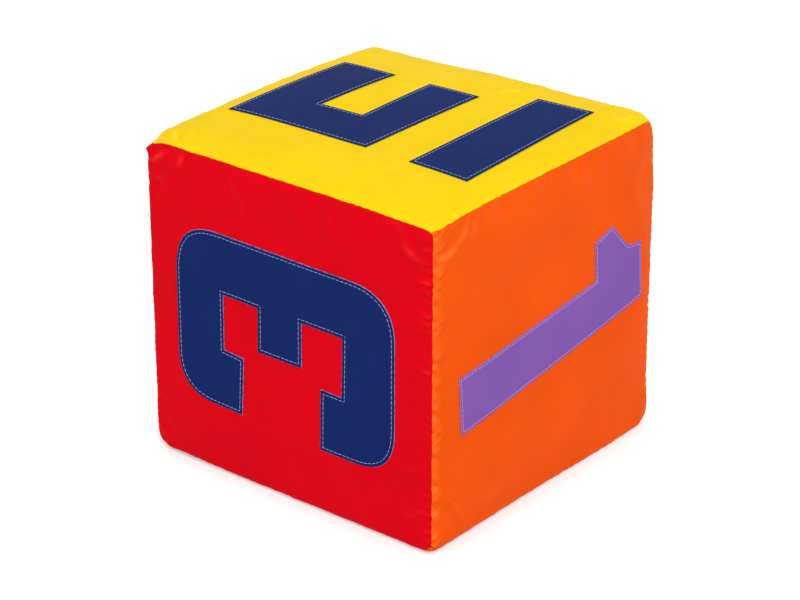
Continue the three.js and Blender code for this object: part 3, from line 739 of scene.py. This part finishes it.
# Moulded plastic: a fine even grain with worn, smoother patches
def mouldedPlastic(name, colour):
    n = Nodes(name)
    place = n.place()
    patch = n.noise(place, scale=180.0)
    n.set(
        Base_Color=n.between(patch, linear(colour, 0.85), linear(colour, 1.2)),
        Roughness=n.span(patch, 0.3, 0.7, 0.34, 0.5),
        Normal=n.bump(n.noise(place, scale=2600.0), strength=0.2, depth=0.03),
    )
    return n.made


# Die-cast zip metal: grey plating with rubbed patches and fine scratches
def castMetal(name, colour):
    n = Nodes(name)
    place = n.place()
    rubbed = n.noise(place, scale=420.0, detail=4.0)
    stretched = n.add("Mapping", {"Vector": place, "Scale": (120.0, 2400.0, 1600.0)}).outputs[0]
    n.set(
        Base_Color=n.between(rubbed, linear(colour, 0.7), linear(colour, 1.1)), Metallic=1.0,
        Roughness=n.span(rubbed, 0.3, 0.7, 0.28, 0.46),
        Normal=n.bump(n.noise(stretched, scale=1.0), strength=0.15, depth=0.04),
    )
    return n.made


cloth = {
    "yellow": nylonCloth("nylonYellow", (251, 211, 12), gain=(1.0, 1.12, 1.36)),
    "red": nylonCloth("nylonRed", (217, 4, 22), paintedHighlightShare=0.5),
    "orange": nylonCloth("nylonOrange", (241, 86, 11)),
    "navy": nylonCloth("nylonNavy", (20, 40, 98), roughness=0.45),
    "purple": nylonCloth("nylonPurple", (131, 90, 173), roughness=0.45),
}
thread = {
    "periwinkle": sewingThread("threadPeriwinkle", (162, 180, 230)),
    "lilac": sewingThread("threadLilac", (208, 180, 232)),
    "rust": sewingThread("threadRust", (150, 38, 14)),
    "ink": sewingThread("threadInk", (14, 20, 44)),
}
cut = {
    # painted highlight and painted shade: pale and dark copies of the one navy cut edge
    "paintedLightCut": cutEdge("cutPaintedLight", (158, 126, 182)),
    "lilacCut": cutEdge("cutLilac", (176, 138, 208)),
    "paintedShadeCut": cutEdge("cutPaintedShade", (22, 30, 58)),
}
foamBody = openFoam("foamCream", (241, 236, 216))
tapeCloth = zipTape("zipTapeWoven", (36, 40, 58))
toothPlastic = mouldedPlastic("zipPlastic", (43, 48, 70))
zipMetal = castMetal("zipMetal", (185, 188, 194))
print("materials made")

# The cover panels, each a sheet of nylon with its edges turned in along the seams. The back is sewn
# from two, above and below the zip (side), which are folded under along its slot.
panels = {
    "cover_top": {"face": "top", "cloth": "yellow", "flat": (0.21, 0.21)},
    "cover_front": {"face": "front", "cloth": "red", "flat": (0.21, 0.20)},
    "cover_right": {"face": "right", "cloth": "orange", "flat": (0.21, 0.20)},
    "cover_left": {"face": "left", "cloth": "red", "flat": (0.21, 0.20)},
    "cover_base": {"face": "base", "cloth": "orange", "flat": (0.21, 0.21)},
    "cover_back": {
        "face": "back", "cloth": "yellow", "flat": (0.21, 0.178), "side": 1, "cells": 150,
    },
    "cover_back_strip": {
        "face": "back", "cloth": "yellow", "flat": (0.21, 0.046), "side": -1, "cells": 40,
    },
}
panelMake = {
    "cells": 176, "edgeShare": 0.35, "slotShare": 0.3,  # closer rows at the seams and at the slot
    "allowance": (1.4, 4.5), "thickness": 0.45,
    "turnNormal": 0.62, "turnAcross": 0.78,  # the turned-in edge leans to its own panel's side
}
# Painted highlight on the rolled edges to which relief gives a shine, in patches
edgeShine = {"reach": 4.4, "mean": 0.65, "swing": 0.5, "slant": 0.6, "waves": (4.5, 16)}


# Rows from -1 to 1, closer together at the ends: a blend of even steps and a sine
def closerAtEnds(cells, share):
    t = np.linspace(-1, 1, cells + 1)
    return (1 - share) * t + share * np.sin(np.pi * t / 2)


# Adds the rows of a turned-in edge: the end values repeated, with how far in each repeat is folded
def withAllowance(rows, low=True):
    after = np.array(panelMake["allowance"])
    before = after[::-1] if low else after[:0]
    values = np.concatenate([np.full(len(before), rows[0]), rows, np.full(len(after), rows[-1])])
    return values, np.concatenate([-before, np.zeros(len(rows)), after])


# Panel points with their turned-in edges: past a seam the cloth folds back inside, leaning across
def turnedIn(faceName, points, turnedA, turnedB):
    face = faces[faceName]
    for turned, side in ((turnedA, face["across"]), (turnedB, face["up"])):
        inward = panelMake["turnNormal"] * np.abs(turned)[:, None] * face["normal"]
        points = points - inward - panelMake["turnAcross"] * turned[:, None] * side
    return points


# What the cloth's material reads: how far inside the nearest seam a point lies, with the seam's painted
# shade line drawn to one side by a stretch of that distance, and a painted highlight by how high it
# stands on a crease, plus a painted highlight on the roll of an edge, which fades from the seam as a
# Gaussian in uneven patches
def clothMarks(faceName, a, b, turnedA, turnedB):
    details, sides = relief[faceName], fromSeams(faceName, a, b)
    inside = np.stack([away for away, along in sides], -1) * details.get("seamStretch", (1, 1, 1, 1))
    seam = np.where((turnedA != 0) | (turnedB != 0), 0, inside.min(-1))
    paintedHighlight = np.clip(creaseHeights(faceName, a, b) / creaseHeight, 0, 1) ** 2
    for k, (away, along) in enumerate(sides):
        # painted highlight along the rolled edge, added to the crease's painted highlight
        wave = ripple(along + edgeShine["slant"] * away, details["seed"] + 80 + k, *edgeShine["waves"])
        shine = details.get("shine", (0, 0, 0, 0))[k] * (edgeShine["mean"] + edgeShine["swing"] * wave)
        paintedHighlight = paintedHighlight + shine * bell(away, edgeShine["reach"])
    return {"seam": seam, "paintedHighlight": np.clip(paintedHighlight, 0, 1)}


# A panel of one whole face: the cover on a grid of rows that lie closer at the seams
def wholePanel(name, panel):
    faceName = panel["face"]
    halfA, halfB = halfSizes(faceName)[:2]
    rows = closerAtEnds(panelMake["cells"], panelMake["edgeShare"])
    rowA, turnedA = withAllowance(rows * halfA)
    rowB, turnedB = withAllowance(rows * halfB)
    a, b = spread(rowA, rowB)
    inA, inB = spread(turnedA, turnedB)
    points = turnedIn(faceName, coverSurface(faceName, a, b), inA, inB)
    uv, marks = np.stack([a + inA, b + inB], -1), clothMarks(faceName, a, b, inA, inB)
    return makePiece(name, points, gridQuads(len(rowA), len(rowB)), [cloth[panel["cloth"]]], uv, marks)


# Foam inside the cover, clear of it and hollowed behind the zip
foam = {
    "half": block["half"] - 2.0, "middle": block["middle"], "crown": 2.2, "crownPower": 6,
    "cornerDraw": np.array([7.0, 7.0, 8.0]), "cornerPower": 14, "roll": 8.0,
    "cells": 56, "edgeShare": 0.35, "hollowDepth": 4.0, "hollowHalf": (85.0, 17.0), "hollowSoft": 3.0,
}
zipLine = {"height": 31.1, "tapeDepth": 98.98, "slotHalf": 76.0, "opening": 5.5, "seamGap": 0.15}
zipB = zipLine["height"] - block["middle"][2]  # on the back, up from its middle
hem = {"round": 0.9, "width": 8.0, "turnRows": 7, "backRows": 4, "endRound": 5.0}


# The foam block: six faces of a softer rounded block, joined where their edges meet; the back sinks
# behind the zip by a depth that ramps up from the sides of the hollow
def foamCore():
    rows = closerAtEnds(foam["cells"], foam["edgeShare"])
    points, quads = [], []
    for faceName in faces:
        halfA, halfB = halfSizes(faceName, foam)[:2]
        a, b = spread(rows * halfA, rows * halfB)
        surface = softMoved(*blockPoints(foam, faceName, a, b))
        if faceName == "back":
            aside = np.stack([a, surface[:, 2] - zipLine["height"]], -1)
            ramp = np.clip((np.array(foam["hollowHalf"]) - np.abs(aside)) / foam["hollowSoft"], 0, 1)
            surface[:, 1] -= foam["hollowDepth"] * ramp[:, 0] * ramp[:, 1]
        quads.append(gridQuads(len(rows), len(rows)) + sum(len(p) for p in points))
        points.append(surface)
    points = np.concatenate(points)
    first, merged = np.unique(points.round(3), axis=0, return_index=True, return_inverse=True)[1:]
    quads = merged.ravel()[np.concatenate(quads)]
    return makePiece("foam_block", points[first], quads, [foamBody])


# Half the gap between the two folded edges: the full opening, closing on a quarter circle at its ends
def slotOpening(a):
    past = np.clip((np.abs(a) - zipLine["slotHalf"] + hem["endRound"]) / hem["endRound"], 0, 1)
    return zipLine["seamGap"] + (zipLine["opening"] - zipLine["seamGap"]) * np.sqrt(1 - past**2)


# A back piece: rows run from the slot, where the cloth turns over a half circle and lies back under
# itself, to the block's seam
def backPanel(name, panel):
    side, face = panel["side"], faces["back"]
    halfA, halfB = halfSizes("back")[:2]
    rowA, turnedA = withAllowance(closerAtEnds(panelMake["cells"], panelMake["edgeShare"]) * halfA)
    rows = (closerAtEnds(panel["cells"], panelMake["slotShare"]) + 1) / 2
    share, turnedB = withAllowance(rows, low=False)
    turn = np.linspace(0, np.pi, hem["turnRows"] + 1)[1:]
    under = np.linspace(0, hem["width"], hem["backRows"] + 1)[1:]
    slide = np.concatenate([hem["round"] * np.sin(turn), -under])[::-1]
    below = np.full(len(under), 2 * hem["round"])
    sink = np.concatenate([hem["round"] * (1 - np.cos(turn)), below])[::-1]
    blank, hemRows = np.zeros(len(share)), np.zeros(len(slide))
    a, s = spread(rowA, np.concatenate([hemRows, share]))
    inA, inB = spread(turnedA, np.concatenate([hemRows, turnedB]) * side)
    slide, sink = (np.tile(np.concatenate([v, blank]), len(rowA)) for v in (slide, sink))
    edge = zipB + side * (slotOpening(a) + hem["round"])
    b = edge + s * (side * halfB - edge)
    points = turnedIn("back", coverSurface("back", a, b), inA, inB)
    points = points - side * slide[:, None] * face["up"] - sink[:, None] * face["normal"]
    quads = gridQuads(len(rowA), len(hemRows) + len(share))[:, ::side]
    uv, marks = np.stack([a + inA, b + inB - side * slide], -1), clothMarks("back", a, b, inA, inB)
    return makePiece(name, points, quads, [cloth[panel["cloth"]]], uv, marks)


foamPiece = dress(foamCore(), "foam_core")
print("foam made")
for name, panel in panels.items():
    makePanel = backPanel if panel["face"] == "back" else wholePanel
    piece = thicken(makePanel(name + "_cloth", panel), panelMake["thickness"])
    dress(piece, name)
print("panels made")

# Figures: appliqué cloth lying on its panel, held by a topstitch near its edge
applique = {
    "thickness": 0.45,
    "edge": ((0, 0.15), (0.25, 0.58)),  # height by distance from the outline
    "groove": (  # and by distance from the stitches
        (-0.8, 0.79), (-0.4, 0.72), (0, 0.52), (0.4, 0.70), (1.4, 0.80), (3.0, 0.72),
    ),
    "band": 0.24, "inner": 3.5,
    "seamMark": 9.0,  # as far from a seam as the cloth's material looks
}
figureLooks = {  # by the cloth of the panel that a figure lies on; a navy figure's cut edge is painted lit on red and painted shaded on yellow
    "red": {"cloth": "navy", "thread": "periwinkle", "cut": "paintedLightCut"},
    "yellow": {"cloth": "navy", "thread": "periwinkle", "cut": "paintedShadeCut"},
    "orange": {"cloth": "purple", "thread": "lilac", "cut": "lilacCut"},
}
topstitch = {
    "pitch": 3.0, "length": 2.7, "thick": 0.29, "stations": 5, "sides": 6,
    "rise": 0.42, "dive": 0.7, "taper": 0.35,  # shares of its thickness
}
fray = {
    "pitch": 1.1, "longest": 0.7, "shortest": 0.15, "thick": 0.13, "stations": 3, "sides": 3,
    "taper": 0.7, "inset": 0.1, "jitter": 0.4, "slant": 0.8, "lift": 0.45, "bend": (-0.3, 0.1),
    "ahead": 0.3, "seed": 40,
}


# A figure's section: distances from its outline and heights there, rising at the edge and pressed
# down where the stitches run
def figureProfile(figure):
    groove = [(figure["stitchInset"] + away, lift) for away, lift in applique["groove"]]
    return np.array([*applique["edge"], *groove]).T


# Height of a figure's upper side over the cover by its distance from the outline
def figureLift(figure, distance):
    return np.interp(distance, *figureProfile(figure))


# A figure filled from the loops that its profile needs and an even lattice inside, as a Delaunay mesh
def figureCloth(name, figure):
    insets, inner = figureProfile(figure)[0], applique["inner"]
    loops = [outlineLoop(c, inset) for c in figure["contours"] for inset in insets]
    outer = [outlineLoop(c) for c in figure["contours"]]
    low, high = outer[0].min(0), outer[0].max(0)
    x, y = (g.ravel() for g in np.meshgrid(*[np.arange(low[k], high[k], inner) for k in (0, 1)]))
    x = x + inner / 2 * (np.round((y - low[1]) / inner) % 2)
    deep = insideLoops(x, y, outer) & (distanceToLoops(x, y, outer) > insets[-1] + inner / 2)
    points = np.concatenate(loops + [np.column_stack([x[deep], y[deep]])])
    starts = np.cumsum([0] + [len(loop) for loop in loops])
    sides = np.concatenate([
        start + np.stack([np.arange(len(loop)), np.roll(np.arange(len(loop)), -1)], -1)
        for start, loop in zip(starts, loops)
    ])
    made = delaunay_2d_cdt(points.tolist(), sides.tolist(), [], 0, 1e-4)
    flat = np.array([tuple(p) for p in made[0]])
    triangles = np.array(made[2])
    centre = flat[triangles].mean(1)
    triangles = triangles[insideLoops(centre[:, 0], centre[:, 1], outer)]
    used, triangles = np.unique(triangles, return_inverse=True)
    flat, triangles = flat[used], triangles.reshape(-1, 3)
    finer = [outlineLoop(c, spacing=0.4) for c in figure["contours"]]
    distance = distanceToLoops(flat[:, 0], flat[:, 1], finer)
    points = onCloth(figure["face"], flat[:, 0], flat[:, 1], figureLift(figure, distance))[0]
    materials = [cloth[figure["cloth"]], cut[figure["cut"]]]
    marks = {"seam": np.full(len(flat), applique["seamMark"]), "paintedHighlight": np.zeros(len(flat))}
    piece = makePiece(name + "_cloth", points, triangles, materials, flat, marks)
    raw = distance[triangles].mean(1) < applique["band"]
    piece.data.polygons.foreach_set("material_index", raw.astype(np.int32))
    return thicken(piece, applique["thickness"], rimMaterial=1)


# Places along a closed line at given lengths
def alongLoop(loop, lengths):
    closed = np.concatenate([loop, loop[:1]])
    reached = np.concatenate([[0], np.cumsum(np.linalg.norm(np.diff(closed, axis=0), axis=1))])
    lengths = np.mod(lengths, reached[-1])
    return np.interp(lengths, reached, closed[:, 0]), np.interp(lengths, reached, closed[:, 1])


# The sum of the sides of a closed line
def loopLength(loop):
    return np.linalg.norm(np.roll(loop, -1, 0) - loop, axis=1).sum()


# Centre lines of a run of stitches: each rises off the cloth in the middle and dives in at its ends
def stitchLines(faceName, centres, placeAt, lift):
    across = np.linspace(-1, 1, topstitch["stations"])
    a, b = placeAt(centres[:, None] + across * topstitch["length"] / 2)
    arch = topstitch["thick"] * (topstitch["rise"] - topstitch["dive"] * across**4)
    return onCloth(faceName, a, b, lift + np.broadcast_to(arch, a.shape))


# Runs of stitches as one piece, each stitch thinner at its ends by a fourth power
def stitchPiece(name, runs, threadName):
    across = np.linspace(-1, 1, topstitch["stations"])
    radii = topstitch["thick"] / 2 * (1 - topstitch["taper"] * across**4)
    return threadPiece(name, runs, radii, topstitch["sides"], thread[threadName])


# Topstitching round a figure: stitches of equal pitch along its outline moved in
def figureStitches(name, figure):
    inset, runs = figure["stitchInset"], []
    for contour in figure["contours"]:
        loop = outlineLoop(contour, inset)
        count = round(loopLength(loop) / topstitch["pitch"])
        centres = (np.arange(count) + 0.5) * loopLength(loop) / count
        lift = figureLift(figure, inset)
        runs.append(stitchLines(figure["face"], centres, lambda s: alongLoop(loop, s), lift))
    return stitchPiece(name + "_topstitch", runs, figure["thread"])


# Yarn ends standing out of a figure's cut edge: short thin tapers, slanted and of mixed length
def figureFray(name, figure, seed):
    rng = np.random.default_rng(seed)
    share, runs = np.linspace(0, 1, fray["stations"]), []
    for contour in figure["contours"]:
        loop = outlineLoop(contour, fray["inset"])
        count = round(loopLength(loop) / fray["pitch"])
        jitter = rng.uniform(-fray["jitter"], fray["jitter"], count)
        centres = (np.arange(count) + jitter) * loopLength(loop) / count
        place = np.stack(alongLoop(loop, centres), -1)
        along = unit(np.stack(alongLoop(loop, centres + fray["ahead"]), -1) - place + 1e-9)
        outward = np.stack([along[:, 1], -along[:, 0]], -1)
        reach = rng.uniform(fray["shortest"], fray["longest"], count)
        slant = rng.uniform(-fray["slant"], fray["slant"], count)
        way = (outward + slant[:, None] * along) * reach[:, None]
        a, b = (place[:, k, None] + way[:, k, None] * share for k in (0, 1))
        lift = fray["lift"] + rng.uniform(*fray["bend"], count)[:, None] * share
        runs.append(onCloth(figure["face"], a, b, lift))
    radii = fray["thick"] / 2 * (1 - fray["taper"] * share)
    return threadPiece(name + "_fray", runs, radii, fray["sides"], cut[figure["cut"]])


# Flat area inside an outline, less its eye: half the sum of cross products round each loop
def flatArea(figure):
    area = 0.0
    for contour in figure["contours"]:
        x, y = outlineLoop(contour).T
        area += 0.5 * (x * np.roll(y, -1) - y * np.roll(x, -1)).sum()
    return abs(area)


# Width and length of the cloth that a figure is cut from, in metres
def figureFlat(figure):
    return tuple(np.ptp(outlineLoop(figure["contours"][0]), axis=0) * mm)


for index, (name, figure) in enumerate(figures.items()):
    panelName = "cover_" + figure["face"]
    figure.update(figureLooks[panels[panelName]["cloth"]])
    piece = dress(figureCloth(name, figure), name)
    stitches = dress(figureStitches(name, figure))
    ends = dress(figureFray(name, figure, fray["seed"] + index))
    figureFlat(figure)
    flatArea(figure) * mm * mm
print("figures made")

# Sewing in the block's seams, seen as a row of small dark stitches at the foot of the groove
seamThread = {
    "pitch": 3.4, "length": 2.6, "thick": 0.32, "taper": (0.7, 0.95, 1, 0.95, 0.7), "sides": 6,
    "run": 92.0, "rise": -0.38, "dive": 0.3,
}
seamSides = [(f, k, s) for f in ("top", "base") for k in ("across", "up") for s in (1, -1)]
seamSides += [(f, "across", s) for f in ("front", "back") for s in (1, -1)]


# Stitches along one edge of a face: short lines on the seam, standing off it along the diagonal
def seamLines(faceName, direction, sign):
    face = faces[faceName]
    halfA, halfB = halfSizes(faceName)[:2]
    across = np.linspace(-1, 1, len(seamThread["taper"]))
    run = min(seamThread["run"], halfA, halfB)
    centres = np.arange(-run, run, seamThread["pitch"])
    along = (centres[:, None] + across * seamThread["length"] / 2).ravel()
    if direction == "across":
        points = coverSurface(faceName, np.full_like(along, sign * halfA), along)
    else:
        points = coverSurface(faceName, along, np.full_like(along, sign * halfB))
    diagonal = (face["normal"] + sign * face[direction]) / math.sqrt(2)
    arch = np.tile(seamThread["rise"] - seamThread["dive"] * across**4, len(centres))
    shape = (len(centres), len(across), 3)
    return (points + arch[:, None] * diagonal).reshape(shape), np.broadcast_to(diagonal, shape)


seamRuns = [seamLines(*side) for side in seamSides]
seamRadii = seamThread["thick"] / 2 * np.array(seamThread["taper"])
dress(threadPiece("seam_thread", seamRuns, seamRadii, seamThread["sides"], thread["rust"]))
print("seam sewing made")

# The zip: woven tapes with a corded edge, moulded teeth, and the sewing that holds the hems
zipTapes = {"zip_tape_upper": 1, "zip_tape_lower": -1}  # side of the zip's line
tapeMake = {
    "half": 82.0, "width": 11.0, "thickness": 0.6, "edge": 2.4, "rows": 22, "columns": 165,
    "cord": 0.35, "cordHalf": 0.6, "wave": 0.05, "waves": (12, 50), "seed": 77,
}
toothMake = {
    "pitch": 3.2, "count": 44, "half": 1.2, "round": 0.35, "faceShare": 0.78,
    "outline": (  # distance from the zip's line, half width
        (0.5, 0.5225), (0.85, 0.874), (1.35, 0.95), (2.2, 0.6), (2.7, 0.6), (3.2, 0.6), (3.5, 0.42),
    ),
}


# Tape: a flat strip with a corded edge (a bead of half-circle section) beside the teeth
def tapePiece(name, side):
    m = tapeMake
    x, w = spread(np.linspace(-m["half"], m["half"], m["columns"]), np.linspace(0, m["width"], m["rows"]))
    bead = m["cord"] * np.sqrt(np.clip(1 - ((w - m["cordHalf"]) / m["cordHalf"]) ** 2, 0, 1))
    wave = m["wave"] * ripple(x, m["seed"] + side, *m["waves"]) * w / m["width"]
    y = zipLine["tapeDepth"] + m["thickness"] / 2 + bead - np.abs(wave)
    z = zipLine["height"] + side * (m["edge"] + w)
    quads = gridQuads(m["columns"], m["rows"])[:, ::-side]
    piece = makePiece(name, np.stack([x, y, z], -1), quads, [tapeCloth], np.stack([x, w], -1))
    return thicken(piece, m["thickness"])


# Teeth: the outline of a tooth (a wide head, a narrow neck, a foot round the tape's edge) carried
# through the thickness, pulled in by a rounding at both faces
def teethPiece(name, side):
    m = toothMake
    reach, half = np.array(m["outline"]).T
    outlineX = np.concatenate([half, -half[::-1]])
    outlineZ = np.concatenate([reach, reach[::-1]])
    depth = np.array([-m["half"], m["round"] - m["half"], m["half"] - m["round"], m["half"]])
    shrink = np.array([m["faceShare"], 1.0, 1.0, m["faceShare"]])[:, None]
    start = -(m["count"] - 1) * m["pitch"] / 2 + side * m["pitch"] / 4
    places = start + np.arange(m["count"]) * m["pitch"]
    middle = outlineZ.mean()
    x = places[:, None, None] + shrink * outlineX
    y = np.broadcast_to(zipLine["tapeDepth"] + depth[:, None], x.shape)
    z = np.broadcast_to(zipLine["height"] + side * (middle + shrink * (outlineZ - middle)), x.shape)
    layers, ring = x.shape[1:]
    walls = ringQuads(layers, ring)[:, [0, 3, 2, 1]][:, ::-side]
    lids = np.stack([np.arange(ring)[::-1], (layers - 1) * ring + np.arange(ring)])[:, ::-side]
    starts = np.arange(m["count"])[:, None, None] * layers * ring
    polygons = (walls + starts).reshape(-1, 4).tolist() + (lids + starts).reshape(-1, ring).tolist()
    return makePiece(name, np.stack([x, y, z], -1), polygons, [toothPlastic])


for name, side in zipTapes.items():
    woven = dress(tapePiece(name + "_woven", side), name)
    teeth = dress(teethPiece(name.replace("tape", "teeth"), side))

# Sewing along both hems, in two straight runs
hemStitch = {"offset": 6.0, "end": 84.0}
hemCentres = np.arange(-hemStitch["end"], hemStitch["end"], topstitch["pitch"])
hemRuns = []
for side in (1, -1):
    level = zipB + side * (zipLine["opening"] + hemStitch["offset"])
    hemRuns.append(stitchLines("back", hemCentres, lambda s: (s, np.full_like(s, level)), 0.0))
dress(stitchPiece("hem_topstitch", hemRuns, "ink"))

# The zip's hard parts are the CAD nodes themselves
hardParts = {
    "zip_slider": zipMetal, "zip_pull": zipMetal, "zip_end_stop": toothPlastic,
    "zip_top_stop_upper": toothPlastic, "zip_top_stop_lower": toothPlastic,
}
for name, material in hardParts.items():
    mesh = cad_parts[name].data
    mesh.materials.clear()
    mesh.materials.append(material)
print("zip made")

# White studio floor: to the eye it also glows, so that all but the shadow at the foot goes white
floorMake = {
    "half": 3000.0, "level": -0.05, "grey": 0.6, "glow": 0.66,
    "shadowReach": 23.0, "shadow": 0.5, "shadowFrom": 0.35, "shadowTo": 0.95,
}
white = (1, 1, 1, 1)


# One where a ray comes from the camera, a reflection or a pane, and nought for light on the object
def seenRays(n):
    rays = n.add("LightPath").outputs
    seen = n.maths("MAXIMUM", rays["Is Camera Ray"], rays["Is Glossy Ray"])
    return n.maths("MAXIMUM", seen, rays["Is Transmission Ray"])


# A wide square whose glow falls by the shadow's share where the block hides much of its sky
def studioFloor():
    m = floorMake
    points = [(x * m["half"], y * m["half"], m["level"]) for x, y in ((-1, -1), (1, -1), (1, 1), (-1, 1))]
    n = Nodes("studioFloor")
    near = n.add("AmbientOcclusion", {"Distance": m["shadowReach"] * mm}, samples=8).outputs["AO"]
    clear = n.span(near, m["shadowFrom"], m["shadowTo"], (1 - m["shadow"]) * m["glow"], m["glow"])
    n.set(Base_Color=(*[m["grey"]] * 3, 1), Roughness=0.9, Emission_Color=white)
    n.set(Emission_Strength=n.maths("MULTIPLY", seenRays(n), clear))
    return makePiece("studio_floor", points, [(0, 1, 2, 3)], [n.made])


studioFloor()

studio = {
    "skyLight": 0.38,
    "lamps": {  # square soft boxes: place and size in metres, power in watts
        "key": ((2.16, -1.64, 2.3), 1.8, 86.0),
        "fill": ((-1.4, -3.1, 1.1), 1.6, 32.0),
        "side": ((1.74, 2.2, 0.97), 1.6, 9.5),
        "left": ((-2.4, -0.25, 1.3), 1.6, 7.0),
        "top": ((-0.5, 0.6, 2.6), 1.8, 6.0),
        "back": ((0.8, 2.9, 0.5), 1.6, 16.0),
    },
}
sky = Nodes("studio", "worlds", "Background")
bpy.context.scene.world = sky.made
sky.set(Color=white, Strength=studio["skyLight"])
backdrop = sky.add("Background", {"Color": white, "Strength": 1.0})
shown = sky.add("MixShader", {0: seenRays(sky), 1: sky.shader.outputs[0], 2: backdrop.outputs[0]})
sky.tree.links.new(shown.outputs[0], sky.tree.nodes["World Output"].inputs["Surface"])


# A lamp or camera held at a place, with its back to a direction and its right side level
def held(name, data, place, back):
    right = unit(np.cross((0, 0, 1), back))
    up = np.cross(back, right)
    holder = bpy.data.objects.new(name, data)
    bpy.context.scene.collection.objects.link(holder)
    rows = [[right[k], up[k], back[k], place[k]] for k in range(3)]
    holder.matrix_world = Matrix(rows + [[0, 0, 0, 1]])
    return holder


for name, (place, size, power) in studio["lamps"].items():
    lamp = bpy.data.lights.new(name, "AREA")
    lamp.energy = power
    lamp.size = size
    held(name, lamp, place, unit(np.array(place) - block["middle"] * mm))

# The camera stands where the block's nine visible edges put it
view = {
    "turn": 38.9956, "rise": 25.0233, "lens": 127.13, "sensor": 36, "place": (0.91441, -1.13253, 0.76527),
}
camera = bpy.data.cameras.new("camera")
camera.lens = view["lens"]
camera.sensor_width = view["sensor"]
turn, rise = math.radians(view["turn"]), math.radians(view["rise"])
back = np.array([math.sin(turn) * math.cos(rise), -math.cos(turn) * math.cos(rise), math.sin(rise)])
bpy.context.scene.camera = held("camera", camera, view["place"], back)
bpy.context.scene.view_settings.view_transform = "Standard"
print("studio ready")
